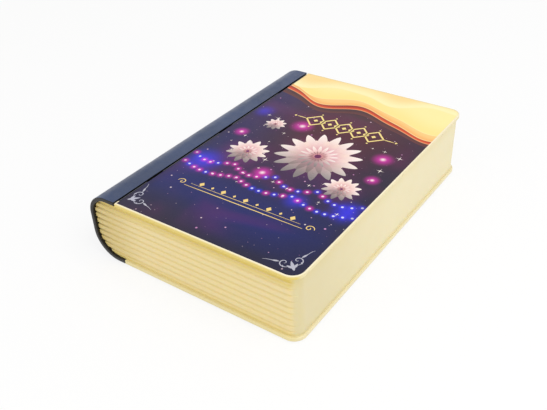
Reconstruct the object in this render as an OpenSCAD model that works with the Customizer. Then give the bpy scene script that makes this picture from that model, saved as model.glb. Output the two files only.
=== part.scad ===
// Folding book lamp: a rechargeable lamp in the shape of a closed book.
// Millimetres. +X runs from the spine to the fore-edge, +Y from tail to head, +Z up.
// Origin: centre of the closed book's outline, on the surface that it lies on.

/* [Book] */
// Width of the closed book, back of the spine to the fore-edge
book_w = 111; // [108:1:130]
// Length of the book, tail to head
book_l = 155; // [152:1:190]
// Height of the closed book, with its feet
book_h = 34.2; // [33.6:0.2:40]
// Thickness of the cover board, the base board and the spine shell
board_t = 1.9; // [1.8:0.1:2.2]
// Radius of the boards' corners at the fore-edge
corner_r = 6; // [3:0.5:9]
// Gap under the base board, where the feet show
foot_gap = 0.5; // [0.3:0.1:1]

/* [Spine shell] */
// Width of the strip that the spine shell lays over the book
strip_w = 16.6; // [16.2:0.1:18]
// Radius of the upper round of the spine
spine_top_r = 11; // [9:0.5:12]
// Radius of the lower round of the spine
spine_low_r = 13; // [11:0.5:13.5]
// Clearance between the spine shell and the page block
spine_fit = 0.2; // [0.1:0.05:0.3]

/* [Page block] */
// How far the boards stand out over the page block at tail and head
end_overhang = 1.2; // [1:0.1:2.5]
// How far the boards stand out over the page block at the fore-edge
fore_overhang = 1; // [1:0.1:3]
// Wall of the page block
wall_t = 2.2; // [1.8:0.1:2.4]
// Thickness of the page block's top, the deck under the cover
deck_t = 2; // [1.8:0.1:2.4]
// Width of the fine line cut round the lit window of the deck
window_line_w = 0.6; // [0.4:0.1:1]
// Depth of that line
window_line_d = 0.3; // [0.2:0.1:0.6]
// Distance from the edge of the diffuser to the line
window_inset = 2; // [1:0.5:4]
// Radius of the page block's corners at the fore-edge
block_r = 5.2; // [3.6:0.2:8]
// Gap between the deck and the closed cover
cover_gap = 0.3; // [0.2:0.05:0.5]
// Distance from one page groove to the next
groove_pitch = 3.15; // [2.8:0.05:3.2]
// Number of page grooves
groove_count = 9; // [5:1:9]
// Height of the first groove above the base board
groove_first = 2.2; // [2:0.1:3]
// Width of a groove at the surface
groove_w = 1.5; // [0.8:0.1:1.8]
// Width of a groove at its floor
groove_floor_w = 0.5; // [0.3:0.1:0.7]
// Depth of a groove
groove_d = 0.5; // [0.4:0.1:1]

/* [Cover] */
// Cream rim left round the printed panel
rim_w = 0.7; // [0.4:0.1:2]
// Thickness of the printed panel
print_t = 0.2; // [0.15:0.05:0.2]
// Thickness of the liner sheet inside the cover
liner_t = 0.3; // [0.2:0.05:0.35]
// Margin round the liner sheet
liner_margin = 3; // [2:0.5:8]
// Thickness of the cover magnets
cover_magnet_t = 0.8; // [0.5:0.1:0.8]
// Diameter of the cover magnets and the catch magnets
magnet_d = 8; // [6:0.5:8]
// Thickness of the catch magnets in the deck
catch_magnet_t = 2; // [1:0.5:3]
// Distance of the catch magnets from the fore-edge of the room inside
catch_inset = 5.1; // [5:0.1:5.4]
// Distance of each catch magnet from the middle of the book
catch_y = 55; // [40:1:58]

/* [Hinge] */
// Gap between the spine strip and the cover's rounded hinge edge
hinge_gap = 0.4; // [0.35:0.05:0.6]
// Diameter of the hinge pin
pin_d = 0.8; // [0.6:0.1:0.8]
// Running clearance round the hinge pin
pin_play = 0.05; // [0.02:0.01:0.06]
// Diameter of the hinge leaves' knuckles
knuckle_d = 1.3; // [1.2:0.05:1.3]
// Length of one knuckle
knuckle_l = 10; // [6:1:14]
// Clearance at each end of a knuckle
knuckle_play = 0.3; // [0.2:0.1:0.6]
// Distance from one hinge leaf to the next
leaf_pitch = 52; // [30:1:56]
// Width of a hinge leaf on the deck
leaf_w = 7; // [6.4:0.1:7]
// Thickness of a hinge leaf
leaf_t = 0.8; // [0.6:0.1:1]
// Width of the rail that carries the cover on its pin
rail_w = 3.4; // [2.8:0.1:4]
// Length of the cover board's own edge beyond each end of the rail
rail_inset = 2.5; // [1.5:0.1:4]

/* [Light] */
// Height of the LED board above the base board
led_lift = 8.1; // [8:0.1:9]
// Thickness of the LED board and the control board
pcb_t = 1.2; // [0.8:0.1:1.6]
// Number of LED columns across the book
led_columns = 5; // [3:1:7]
// Number of LED rows along the book
led_rows = 8; // [4:1:12]
// Length of one LED package
led_l = 3.5; // [2.8:0.1:4]
// Width of one LED package
led_w = 2.8; // [2:0.1:3.5]
// Height of one LED package
led_h = 0.8; // [0.5:0.1:1.2]
// Thickness of the reflector sheet
reflector_t = 0.4; // [0.3:0.1:0.6]
// Thickness of the diffuser sheet
diffuser_t = 0.8; // [0.5:0.1:1.2]

/* [Buttons] */
// Diameter of the mode button and the dimmer button
button_d = 9; // [7:0.5:10]
// Distance between the two buttons
button_pitch = 14; // [13:0.5:16]
// Travel of a button
button_travel = 0.6; // [0.3:0.1:0.7]
// Clearance round a button
button_play = 0.2; // [0.15:0.05:0.3]
// Width of the flange that keeps a button under the deck
button_flange = 1; // [0.8:0.1:1.4]

/* [Battery] */
// Diameter of the battery cell
cell_d = 18.4; // [18:0.1:18.6]
// Length of the battery cell
cell_l = 65; // [60:0.5:66]
// Wall of the battery holder
holder_t = 1.05; // [0.8:0.05:1.1]
// End wall of the battery holder
holder_end = 2; // [1.5:0.1:3]

/* [Ports] */
// Width of the control board
ctrl_w = 36; // [34:0.5:40]
// Length of the control board
ctrl_l = 31; // [28:0.5:34]
// Width of the port plate
port_w = 30; // [28:0.5:32]
// Height of the port plate
port_h = 7.6; // [7.2:0.1:8]
// Width of the USB socket
usb_w = 8.9; // [8.5:0.1:9.2]
// Height of the USB socket
usb_h = 3.2; // [3:0.1:3.3]
// Travel of the slide switch
slide_travel = 2.5; // [1.5:0.1:3]
// Width of the slide switch knob
knob_w = 3.2; // [2.5:0.1:3.5]
// Height of the slide switch knob
knob_h = 2; // [1.5:0.1:2.2]
// How far the knob stands out of the port plate
knob_reach = 0.8; // [0.4:0.1:1]

/* [Fasteners and feet] */
// Diameter of a rubber foot
foot_d = 10; // [6:0.5:14]
// Depth to which a foot is let into the base board
foot_recess = 0.7; // [0.4:0.1:0.9]
// Diameter of the case screws
case_screw_d = 2.5; // [2:0.1:3]
// Diameter of the small screws on boards and hinge leaves
small_screw_d = 2; // [1.6:0.1:2.2]
// Clearance round a screw where it passes through a piece
screw_play = 0.2; // [0.1:0.05:0.3]
// Diameter of the case screw bosses
case_boss_d = 6; // [5:0.5:6.5]

/* [Hidden] */
$fn = 64;
eps = 0.01;
past = 1;          // how far a cutter runs past what it cuts

// Levels, from the table up
z_base = foot_gap;                        // underside of the base board
z_floor = z_base + board_t;               // inside of the base board
z_lid = book_h - board_t;                 // underside of the cover
z_deck = z_lid - cover_gap;               // top of the page block
z_ceiling = z_deck - deck_t;              // underside of the deck

// Outline of the book
x_spine = -book_w / 2;
x_fore = book_w / 2;
half_l = book_l / 2;
x_strip = x_spine + strip_w;              // end of the spine shell's strips

// Hinge axis, inside the rounded edge of the cover
nose_r = board_t / 2;
hinge_x = x_strip + hinge_gap + nose_r;
hinge_z = book_h - nose_r;
leaf_ys = [-leaf_pitch, 0, leaf_pitch];
knuckle_r = knuckle_d / 2;
rail_half = half_l - rail_inset;
pin_half = rail_half - 0.3;

// Page block and the room inside it
block_x1 = x_fore - fore_overhang;
block_y = half_l - end_overhang;
room_x0 = x_spine + board_t + spine_fit + wall_t;
room_x1 = block_x1 - wall_t;
room_y = block_y - wall_t;
groove_reach = block_x1 - block_r;        // where the corners start to turn
groove_runout = 0.1;                      // how far the grooves end clear of the fore-edge face

// Printed panel and liner
panel_x0 = hinge_x + 0.2;
panel_recess = print_t + 0.05;
liner_recess = liner_t + 0.05;
liner_x0 = hinge_x + rail_w + 1;
magnet_play = 0.05;
catch_x = room_x1 - catch_inset;
catch_cup_t = 1.3;
catch_skin = 1;                           // deck left over a catch magnet
reed_y = room_y - 49.2;
pad_d = 5;
pad_t = 0.6;
pad_recess = 0.35;
pad_y = room_y - 5;

// Battery in the hollow behind the hinge, clear of the block's lower round
cell_play = 0.15;
holder_gap = 0.8;
cell_r = cell_d / 2;
cradle_r = cell_r + cell_play + holder_t;
cell_x = room_x0 + holder_gap + cradle_r;
low_round_x = x_spine + spine_low_r;
z_low_round = z_floor + spine_fit + wall_t;
cell_z = z_low_round + 0.6 + sqrt(pow(cradle_r, 2) - pow(cell_x - low_round_x, 2));
contact_t = 0.4;
contact_w = 9;
contact_h = 8;
contact_spring = 1.1;
contact_d = 5;
holder_y0 = -room_y + 13.2;
cell_y0 = holder_y0 + holder_end + contact_t + contact_spring;
cell_y1 = cell_y0 + cell_l;
holder_y1 = cell_y1 + contact_spring + contact_t + holder_end;
holder_screw_x = cell_x + cradle_r - 2;
holder_screw_ys = [holder_y0 + 12, holder_y1 - 12];

// LED board, reflector and diffuser
led_board_x0 = cell_x + cradle_r + 5.6;
led_board_x1 = room_x1 - 3.7;
led_board_y = room_y - 11.2;
z_led = z_floor + led_lift;
z_led_top = z_led + pcb_t;
post_d = 5;
reflector_margin = 2;
led_screw_inset = 4;
diffuser_x0 = led_board_x0 + 4;
diffuser_x1 = catch_x - magnet_d / 2 - catch_cup_t - 1;
diffuser_y = room_y - 3.2;
diffuser_peg_d = 2;
window_r = 8;                             // corners of the lit window, at the diffuser's edge
diffuser_pegs = [
    for (x = [diffuser_x0 + 4, diffuser_x1 - 4]) for (y = [4 - diffuser_y, diffuser_y - 4]) [x, y]
];

// Control board and what stands on it
ctrl_x0 = x_strip + 2.9;
ctrl_x1 = ctrl_x0 + ctrl_w;
ctrl_y1 = room_y - 2.2;
ctrl_y0 = ctrl_y1 - ctrl_l;
ctrl_lift = 2.6;
z_ctrl = z_floor + ctrl_lift;
z_ctrl_top = z_ctrl + pcb_t;
ctrl_post_d = 4.5;
ctrl_posts = [
    [ctrl_x0 + 2.5, ctrl_y0 + 3], [ctrl_x0 + 2.5, ctrl_y1 - 3],
    [ctrl_x1 - 2.5, ctrl_y0 + 3], [ctrl_x1 - 2.5, ctrl_y1 - 3]
];
led_posts = [
    [led_board_x0 + led_screw_inset, -led_board_y + led_screw_inset],
    [led_board_x1 - led_screw_inset, -led_board_y + led_screw_inset],
    [led_board_x1 - led_screw_inset, led_board_y - led_screw_inset],
    [led_board_x0 + led_screw_inset, ctrl_y0 - 10],
    [ctrl_x1 + 6, led_board_y - led_screw_inset]
];
usb_x = ctrl_x0 + 11;
usb_l = 7.3;
chip_w = 5;
chip_h = 1.4;
coil_d = 6;
coil_h = 3;
battery_socket_x = 9;                     // lead sockets, from the board's spine edge
led_socket_x = 26;
socket_w = 4.5;
socket_h = 3.2;
socket_inset = 1;
z_socket = z_ctrl_top + 1.2;              // where the leads enter their sockets
lamp_x = usb_x + 7.5;                     // charge light
switch_x = usb_x + 14.5;                  // middle of the slide switch

// Port plate in the head end
port_x = lamp_x;
port_z = z_ctrl_top + usb_h / 2 + 0.4;
port_play = 0.15;
flange_w = 0.8;
flange_t = 1;
z_usb = z_ctrl_top + usb_h / 2;
z_knob = z_ctrl_top + 2;
pipe_d = 2;
switch_w = 9.5;
switch_d = 4.2;
switch_h = 4;
switch_y0 = room_y - flange_t - 0.3 - switch_d;
knob_tail = 2;
knob_play = 0.15;

// Buttons under the cover, on the spine side of the deck
button_x = ctrl_x0 + 7;
button_y = room_y - 28.2;
button_ys = [button_y - button_pitch / 2, button_y + button_pitch / 2];
button_rise = 0.1;                        // the cap stands this high over the deck
button_rest = 0.3;                        // flange to deck
button_flange_t = 0.8;
z_button = z_ceiling - button_rest - button_flange_t;   // underside of a button
tact_gap = 0.1;
tact_h = 1.6;
tact_w = 6;
tact_plunger_d = 3;
tact_plunger_h = 0.3;
button_pcb_t = 1;
z_button_pcb = z_button - button_travel - tact_gap - tact_plunger_h - tact_h - button_pcb_t;
button_pcb_x0 = button_x - 7;
button_pcb_w = 14;
button_pcb_y0 = reed_y - 4;
button_pcb_y1 = button_y + button_pitch / 2 + 11.5;
button_post_d = 4.5;
button_post_dy = button_pitch / 2 + button_d / 2 + button_flange + button_post_d / 2 + 0.8;
button_posts = [[button_x, button_y - button_post_dy], [button_x, button_y + button_post_dy]];

// Fasteners
case_screw_l = 9;
small_screw_l = 5;
holder_screw_l = 4.5;
head_sink = 0.05;                         // how far a countersunk head sits in
head_ratio = 1.7;                         // head diameter to screw diameter
drive_span = 1;                           // reach of the cross recess to screw diameter
drive_slot = 0.24;                        // width of the cross recess to screw diameter
drive_depth = 0.22;                       // depth of the cross recess to screw diameter
case_posts = [
    [room_x1 - 4.2, -room_y + 2.8], [room_x1 - 4.2, room_y - 2.8],
    [x_strip + 10.9, -room_y + 2.8], [ctrl_x1 + 6, room_y - 2.8]
];
case_boss_h = 11;
spine_screw_x = x_strip - 3.1;
spine_screw_ys = [-room_y + 7.2, holder_y1 + 8, room_y - 5.2];
spine_boss_d = 5.5;
spine_boss_gap = 0.3;                     // the boss clears the inside of the lower round
leaf_screw_x = hinge_x - (leaf_w + knuckle_r) / 2;
leaf_screw_dy = 4;
leaf_play = 0.1;
leaf_l = knuckle_l + 4;
leaf_boss_d = 4.6;
leaf_boss_h = 1.8;
leaf_screw_l = deck_t + leaf_boss_h - 0.3;
foot_y = half_l - 19.5;
foot_posts = [
    [room_x1 - 8, -foot_y], [room_x1 - 8, foot_y],
    [x_strip + 8, -foot_y], [x_strip + 8, foot_y]
];
lip_t = 1.2;
lip_h = 1.2;
lip_play = 0.25;
wire_d = 1.2;

// ---------- shared shapes ----------

// Flat outline from x0 to x1 and across +-y, with round corners at the fore-edge
module board_plan(x0, x1, y, r) {
    translate([x0, -y]) square([x1 - x0 - r, 2 * y]);
    translate([x0, -y + r]) square([x1 - x0, 2 * (y - r)]);
    for (side = [-1, 1])
        translate([x1 - r, side * (y - r)]) circle(r);
}

// Side view of the book's back between z0 and z1, out to x1. Its rounds are drawn in by gap
// from the outside of the spine shell, and its flat runs reach z0 and z1.
module back_profile(gap, z0, z1, x1) {
    left = x_spine + gap;
    top_r = spine_top_r - gap;
    low_r = spine_low_r - gap;
    low_z = foot_gap + spine_low_r;
    top_z = book_h - spine_top_r;
    top_x = x_spine + spine_top_r;
    low_x = x_spine + spine_low_r;
    intersection() {
        union() {
            translate([top_x, top_z]) circle(top_r);
            translate([low_x, low_z]) circle(low_r);
            translate([left, low_z]) square([x1 - left, top_z - low_z]);
            translate([top_x, top_z - eps]) square([x1 - top_x, z1 - top_z + eps]);
            translate([low_x, z0]) square([x1 - low_x, low_z - z0 + eps]);
        }
        translate([left, z0]) square([x1 - left, z1 - z0]);
    }
}

// A side view drawn in X and Z, stretched along the book from -y to +y
module along_book(y) {
    translate([0, y, 0]) rotate([90, 0, 0]) linear_extrude(2 * y) children();
}

// Box between two corners
module span(a, b) {
    translate(a) cube(b - a);
}

// Round bar along the book, centred on y = 0
module bar_y(x, z, r, half) {
    translate([x, half, z]) rotate([90, 0, 0]) cylinder(h = 2 * half, r = r);
}

// Cross recess for the screwdriver, cut from z = 0 down into a head of a screw of diameter d
module cross_recess(d) {
    arm = d * drive_span / 2;
    half = d * drive_slot / 2;
    for (turn = [0, 90]) rotate(turn)
        span([-arm, -half, -d * drive_depth], [arm, half, past]);
}

// Countersunk screw with its head at the bottom, pointing up
module countersunk_screw(d, l) {
    head_r = d * head_ratio / 2;
    difference() {
        union() {
            cylinder(h = head_r - d / 2, r1 = head_r, r2 = d / 2);
            cylinder(h = l, r = d / 2);
        }
        mirror([0, 0, 1]) cross_recess(d);
    }
}

// The hole that a countersunk screw passes through
module countersunk_hole(d, depth) {
    head_r = d * head_ratio / 2 + screw_play;
    translate([0, 0, -eps]) cylinder(h = head_r - d / 2, r1 = head_r, r2 = d / 2);
    translate([0, 0, -past]) cylinder(h = depth + 2 * past, r = d / 2 + screw_play);
}

// Pan head screw pointing down, with the underside of its head at z = 0
module pan_screw(d, l) {
    head_h = d * 0.5;
    difference() {
        cylinder(h = head_h, r = d * 0.9);
        translate([0, 0, head_h]) cross_recess(d);
    }
    translate([0, 0, -l]) cylinder(h = l + eps, r = d / 2);
}

// Insulated wire through a list of points
module wire(points, d = wire_d) {
    for (i = [0 : len(points) - 2]) {
        a = points[i];
        v = points[i + 1] - a;
        reach = norm(v);
        translate(a)
            rotate([0, acos(v[2] / reach), atan2(v[1], v[0])])
                cylinder(h = reach, r = d / 2, $fn = 24);
        if (i > 0) translate(a) sphere(r = d / 2, $fn = 24);
    }
}

// Section of the page grooves: outside is -past, the wall runs from 0 inwards
module groove_section() {
    for (i = [0 : groove_count - 1]) {
        z = z_floor + groove_first + i * groove_pitch;
        polygon([
            [-past, z - groove_w / 2], [0, z - groove_w / 2],
            [groove_d, z - groove_floor_w / 2], [groove_d, z + groove_floor_w / 2],
            [0, z + groove_w / 2], [-past, z + groove_w / 2]
        ]);
    }
}

// Grooves along tail and head, which run out round the two fore-edge corners
module page_grooves() {
    turn_x = groove_reach + groove_d + groove_runout;
    run = turn_x - x_spine;
    for (side = [0, 1]) mirror([0, side, 0]) {
        translate([x_spine, -block_y, 0]) rotate([90, 0, 90])
            linear_extrude(run) groove_section();
        translate([turn_x, -block_y + block_r, 0]) rotate([0, 0, -90])
            rotate_extrude(angle = 90) translate([block_r, 0]) mirror([1, 0]) groove_section();
    }
}

// ---------- lamp body ----------

module base_board() {
    color("#efe3b2")
    difference() {
        union() {
            translate([0, 0, z_base]) linear_extrude(board_t)
                board_plan(x_strip + spine_fit, x_fore, half_l, corner_r);
            locating_lip();
            for (p = led_posts)
                translate([p[0], p[1], z_floor - eps]) cylinder(h = led_lift + eps, d = post_d);
            for (p = ctrl_posts)
                translate([p[0], p[1], z_floor - eps]) cylinder(h = ctrl_lift + eps, d = ctrl_post_d);
        }
        for (p = led_posts)
            translate([p[0], p[1], z_led - small_screw_l])
                cylinder(h = small_screw_l + past, d = small_screw_d);
        for (p = ctrl_posts)
            translate([p[0], p[1], z_ctrl - small_screw_l + 1.2])
                cylinder(h = small_screw_l + past, d = small_screw_d);
        for (p = case_posts)
            translate([p[0], p[1], z_base]) countersunk_hole(case_screw_d, board_t);
        for (y = holder_screw_ys)
            translate([holder_screw_x, y, z_base]) countersunk_hole(small_screw_d, board_t);
        for (p = foot_posts)
            translate([p[0], p[1], z_base - past])
                cylinder(h = foot_recess + past, d = foot_d + 2 * screw_play);
    }
}

// Low lip that keeps the page block square on the base board
module locating_lip() {
    lip_x0 = x_strip + spine_fit + 2;
    difference() {
        translate([0, 0, z_floor - eps]) linear_extrude(lip_h + eps) difference() {
            board_plan(lip_x0, room_x1 - lip_play, room_y - lip_play, block_r - wall_t);
            translate([-lip_t, 0]) board_plan(lip_x0 - past, room_x1 - lip_play,
                room_y - lip_play - lip_t, block_r - wall_t);
        }
        for (p = case_posts)
            translate([p[0], p[1], z_floor]) cylinder(h = lip_h + past, d = case_boss_d + 1);
    }
}

module page_block() {
    color("#f0e0a8")
    difference() {
        union() {
            difference() {
                block_solid(0, z_floor, z_deck);
                block_solid(wall_t, z_floor - past, z_ceiling);
                page_grooves();
            }
            block_bosses();
        }
        for (p = case_posts)
            translate([p[0], p[1], z_floor - past]) cylinder(h = case_screw_l + past, d = case_screw_d);
        for (y = spine_screw_ys)
            translate([spine_screw_x, y, z_floor - past])
                cylinder(h = case_screw_l + past, d = case_screw_d);
        for (y = leaf_ys) {
            span([hinge_x - leaf_w - leaf_play, y - leaf_l / 2 - leaf_play, z_deck - leaf_t],
                [hinge_x + leaf_play, y + leaf_l / 2 + leaf_play, z_deck + past]);
            for (side = [-1, 1])
                translate([leaf_screw_x, y + side * leaf_screw_dy, z_ceiling - leaf_boss_h - past])
                    cylinder(h = leaf_boss_h + deck_t + 2 * past, d = small_screw_d);
        }
        for (side = [-1, 1]) {
            translate([catch_x, side * catch_y, z_ceiling - past - 2])
                cylinder(h = z_deck - catch_skin - z_ceiling + past + 2, d = magnet_d + 2 * magnet_play);
            translate([catch_x, side * pad_y, z_deck - pad_recess])
                cylinder(h = pad_recess + past, d = pad_d + 2 * magnet_play);
        }
        window_line();
        for (y = button_ys)
            translate([button_x, y, z_ceiling - past])
                cylinder(h = deck_t + 2 * past, d = button_d + 2 * button_play);
        for (p = button_posts)
            translate([p[0], p[1], z_button_pcb]) cylinder(h = small_screw_l, d = small_screw_d);
        span([port_x - port_w / 2 - port_play, room_y - past, port_z - port_h / 2 - port_play],
            [port_x + port_w / 2 + port_play, block_y + past, port_z + port_h / 2 + port_play]);
    }
}

// Outline of the lit window, drawn in by inset from the diffuser's edge
module window_plan(inset) {
    half_w = (diffuser_x1 - diffuser_x0) / 2 - inset;
    half_h = diffuser_y - inset;
    r = window_r - inset;
    translate([(diffuser_x0 + diffuser_x1) / 2, 0]) {
        square([2 * half_w, 2 * (half_h - r)], center = true);
        square([2 * (half_w - r), 2 * half_h], center = true);
        for (x = [-1, 1]) for (y = [-1, 1])
            translate([x * (half_w - r), y * (half_h - r)]) circle(r);
    }
}

// Fine line round the lit window
module window_line() {
    translate([0, 0, z_deck - window_line_d]) linear_extrude(window_line_d + past) difference() {
        window_plan(window_inset);
        window_plan(window_inset + window_line_w);
    }
}

// The block's outline, drawn in by inset on every side that has a wall
module block_solid(inset, z0, z1) {
    intersection() {
        along_book(block_y - inset)
            back_profile(board_t + spine_fit + inset, z0, z1, x_fore);
        translate([0, 0, z0 - past]) linear_extrude(z1 - z0 + 2 * past)
            board_plan(x_spine, block_x1 - inset, block_y - inset, block_r - inset);
    }
}

// Screw bosses, magnet cups, button posts and diffuser pegs inside the block
module block_bosses() {
    for (p = case_posts)
        translate([p[0], p[1], z_floor]) cylinder(h = case_boss_h, d = case_boss_d);
    for (y = spine_screw_ys)
        translate([spine_screw_x, y, z_floor + spine_boss_gap])
            cylinder(h = case_boss_h - spine_boss_gap, d = spine_boss_d);
    for (y = leaf_ys) for (side = [-1, 1])
        translate([leaf_screw_x, y + side * leaf_screw_dy, z_ceiling - leaf_boss_h])
            cylinder(h = leaf_boss_h + eps, d = leaf_boss_d);
    for (side = [-1, 1])
        translate([catch_x, side * catch_y, z_ceiling - 1.5])
            cylinder(h = 1.5 + eps, d = magnet_d + 2 * catch_cup_t);
    for (p = button_posts)
        translate([p[0], p[1], z_button_pcb + button_pcb_t])
            cylinder(h = z_ceiling - z_button_pcb - button_pcb_t + eps, d = button_post_d);
    for (p = diffuser_pegs)
        translate([p[0], p[1], z_ceiling - diffuser_t - 0.3])
            cylinder(h = diffuser_t + 0.3 + eps, d = diffuser_peg_d);
}

module spine_shell() {
    color("#46587f")
    difference() {
        along_book(half_l) difference() {
            back_profile(0, z_base, book_h, x_strip);
            back_profile(board_t, z_floor, z_lid, x_strip + past);
        }
        for (y = spine_screw_ys)
            translate([spine_screw_x, y, z_base]) countersunk_hole(case_screw_d, board_t);
    }
}

// ---------- cover ----------

// The cover's full shape: a board with a round edge on the hinge axis
module cover_solid() {
    translate([0, 0, z_lid]) linear_extrude(board_t)
        board_plan(hinge_x, x_fore, half_l, corner_r);
    bar_y(hinge_x, hinge_z, nose_r, half_l);
}

module panel_plan(play = 0) {
    board_plan(panel_x0 - play, x_fore - rim_w + play, half_l - rim_w + play, corner_r - rim_w);
}

module liner_plan(play = 0) {
    board_plan(liner_x0 - play, x_fore - liner_margin + play, half_l - liner_margin + play,
        corner_r - 2);
}

module magnet_places() {
    for (side = [-1, 1])
        translate([catch_x, side * catch_y, 0]) children();
    translate([button_x, reed_y, 0]) children();
}

module panel_cut() {
    translate([0, 0, book_h - panel_recess]) linear_extrude(panel_recess + past) panel_plan(magnet_play);
}

module cover_board() {
    color("#f4eabf")
    difference() {
        cover_solid();
        panel_cut();
        span([hinge_x - nose_r - past, -rail_half, z_lid - past],
            [hinge_x + rail_w, rail_half, book_h + past]);
        translate([0, 0, z_lid - past]) linear_extrude(liner_recess + past) liner_plan(magnet_play);
        magnet_places()
            translate([0, 0, z_lid]) cylinder(h = liner_recess + cover_magnet_t + magnet_play,
                d = magnet_d + 2 * magnet_play);
    }
}

module cover_panel() {
    color("#33315f")
    translate([0, 0, book_h - panel_recess]) linear_extrude(print_t) panel_plan();
}

module cover_liner() {
    color("#d9d0b4")
    translate([0, 0, z_lid + liner_recess - liner_t]) linear_extrude(liner_t) liner_plan();
}

module cover_rail() {
    window = knuckle_l / 2 + knuckle_play;
    color("#23263a")
    difference() {
        intersection() {
            cover_solid();
            span([hinge_x - nose_r - past, -rail_half, z_lid - past],
                [hinge_x + rail_w, rail_half, book_h + past]);
        }
        panel_cut();
        for (y = leaf_ys)
            span([hinge_x - nose_r - past, y - window, z_lid - past],
                [hinge_x + knuckle_r + knuckle_play, y + window, book_h + past]);
        bar_y(hinge_x, hinge_z, pin_d / 2 + pin_play, half_l);
    }
}

module cover_magnets() {
    color("#b9bcc2")
    magnet_places()
        translate([0, 0, z_lid + liner_recess]) cylinder(h = cover_magnet_t, d = magnet_d);
}

// ---------- hinge ----------

module hinge_leaves() {
    color("#2b2d38")
    for (y = leaf_ys) translate([0, y, 0]) difference() {
        union() {
            span([hinge_x - leaf_w, -leaf_l / 2, z_deck - leaf_t],
                [hinge_x, leaf_l / 2, z_deck]);
            span([hinge_x - knuckle_r, -knuckle_l / 2, z_deck - leaf_t],
                [hinge_x, knuckle_l / 2, hinge_z]);
            bar_y(hinge_x, hinge_z, knuckle_r, knuckle_l / 2);
        }
        bar_y(hinge_x, hinge_z, pin_d / 2 + pin_play / 2, knuckle_l);
        for (side = [-1, 1])
            translate([leaf_screw_x, side * leaf_screw_dy, z_deck])
                mirror([0, 0, 1]) countersunk_hole(small_screw_d, leaf_t);
    }
}

module hinge_pin() {
    color("#c8ccd2")
    bar_y(hinge_x, hinge_z, pin_d / 2, pin_half);
}

module hinge_screws() {
    color("#8f949c")
    for (y = leaf_ys) for (side = [-1, 1])
        translate([leaf_screw_x, y + side * leaf_screw_dy, z_deck - head_sink])
            mirror([0, 0, 1]) countersunk_screw(small_screw_d, leaf_screw_l);
}

// ---------- deck ----------

module catch_magnets() {
    color("#b9bcc2")
    for (side = [-1, 1])
        translate([catch_x, side * catch_y, z_deck - catch_skin - catch_magnet_t])
            cylinder(h = catch_magnet_t, d = magnet_d);
}

module rest_pads() {
    color("#dcdcdc")
    for (side = [-1, 1])
        translate([catch_x, side * pad_y, z_deck - pad_recess])
            cylinder(h = min(pad_t, pad_recess + cover_gap - 0.05), d = pad_d);
}

module button(y) {
    translate([button_x, y, 0]) {
        translate([0, 0, z_button]) cylinder(h = button_flange_t, d = button_d + 2 * button_flange);
        translate([0, 0, z_button])
            cylinder(h = z_deck + button_rise - z_button, d = button_d);
    }
}

module mode_button() {
    color("#e8e2cc") button(button_ys[0]);
}

module dimmer_button() {
    color("#e8e2cc") button(button_ys[1]);
}

module button_board() {
    color("#2f6b45")
    difference() {
        span([button_pcb_x0, button_pcb_y0, z_button_pcb],
            [button_pcb_x0 + button_pcb_w, button_pcb_y1, z_button_pcb + button_pcb_t]);
        for (p = button_posts)
            translate([p[0], p[1], z_button_pcb - past])
                cylinder(h = button_pcb_t + 2 * past, d = small_screw_d + 2 * screw_play);
    }
}

module button_board_screws() {
    color("#8f949c")
    for (p = button_posts)
        translate([p[0], p[1], z_button_pcb]) mirror([0, 0, 1]) pan_screw(small_screw_d, small_screw_l - 1);
}

module tact_switches() {
    z = z_button_pcb + button_pcb_t;
    color("#30343a")
    for (y = button_ys) translate([button_x, y, z]) {
        translate([-tact_w / 2, -tact_w / 2, 0]) cube([tact_w, tact_w, tact_h]);
        cylinder(h = tact_h + tact_plunger_h, d = tact_plunger_d);
    }
}

module reed_switch() {
    z = z_button_pcb + button_pcb_t;
    glass_r = 1;
    glass_l = 9;
    lead_l = 1;
    color("#9fc9b0")
    translate([button_x, reed_y, z + glass_r]) {
        rotate([0, 90, 0]) cylinder(h = glass_l, r = glass_r, center = true);
        rotate([0, 90, 0]) cylinder(h = glass_l + 2 * lead_l, r = 0.3, center = true);
        for (side = [-1, 1])
            translate([side * (glass_l / 2 + lead_l - 0.3), 0, -glass_r]) cylinder(h = glass_r, r = 0.3);
    }
}

// ---------- light ----------

module led_places() {
    dx = (led_board_x1 - led_board_x0) / led_columns;
    dy = 2 * led_board_y / led_rows;
    for (i = [0 : led_columns - 1]) for (j = [0 : led_rows - 1])
        translate([led_board_x0 + (i + 0.5) * dx, -led_board_y + (j + 0.5) * dy, 0]) children();
}

module led_board() {
    color("#f2f2ee")
    difference() {
        span([led_board_x0, -led_board_y, z_led], [led_board_x1, led_board_y, z_led_top]);
        for (p = led_posts)
            translate([p[0], p[1], z_led - past])
                cylinder(h = pcb_t + 2 * past, d = small_screw_d + 2 * screw_play);
    }
}

module leds() {
    color("#fff2b8")
    led_places() translate([-led_w / 2, -led_l / 2, z_led_top]) cube([led_w, led_l, led_h]);
}

module reflector_sheet() {
    window_play = 0.5;
    m = reflector_margin;
    color("#ffffff")
    difference() {
        span([led_board_x0 - m, -led_board_y - m, z_led_top],
            [led_board_x1 + m, led_board_y + m, z_led_top + reflector_t]);
        led_places()
            translate([-led_w / 2 - window_play, -led_l / 2 - window_play, z_led_top - past])
                cube([led_w + 2 * window_play, led_l + 2 * window_play, reflector_t + 2 * past]);
        for (p = led_posts)
            translate([p[0], p[1], z_led_top - past])
                cylinder(h = reflector_t + 2 * past, d = small_screw_d + 2 * screw_play);
    }
}

module led_board_screws() {
    color("#8f949c")
    for (p = led_posts)
        translate([p[0], p[1], z_led_top + reflector_t]) pan_screw(small_screw_d, small_screw_l);
}

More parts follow.
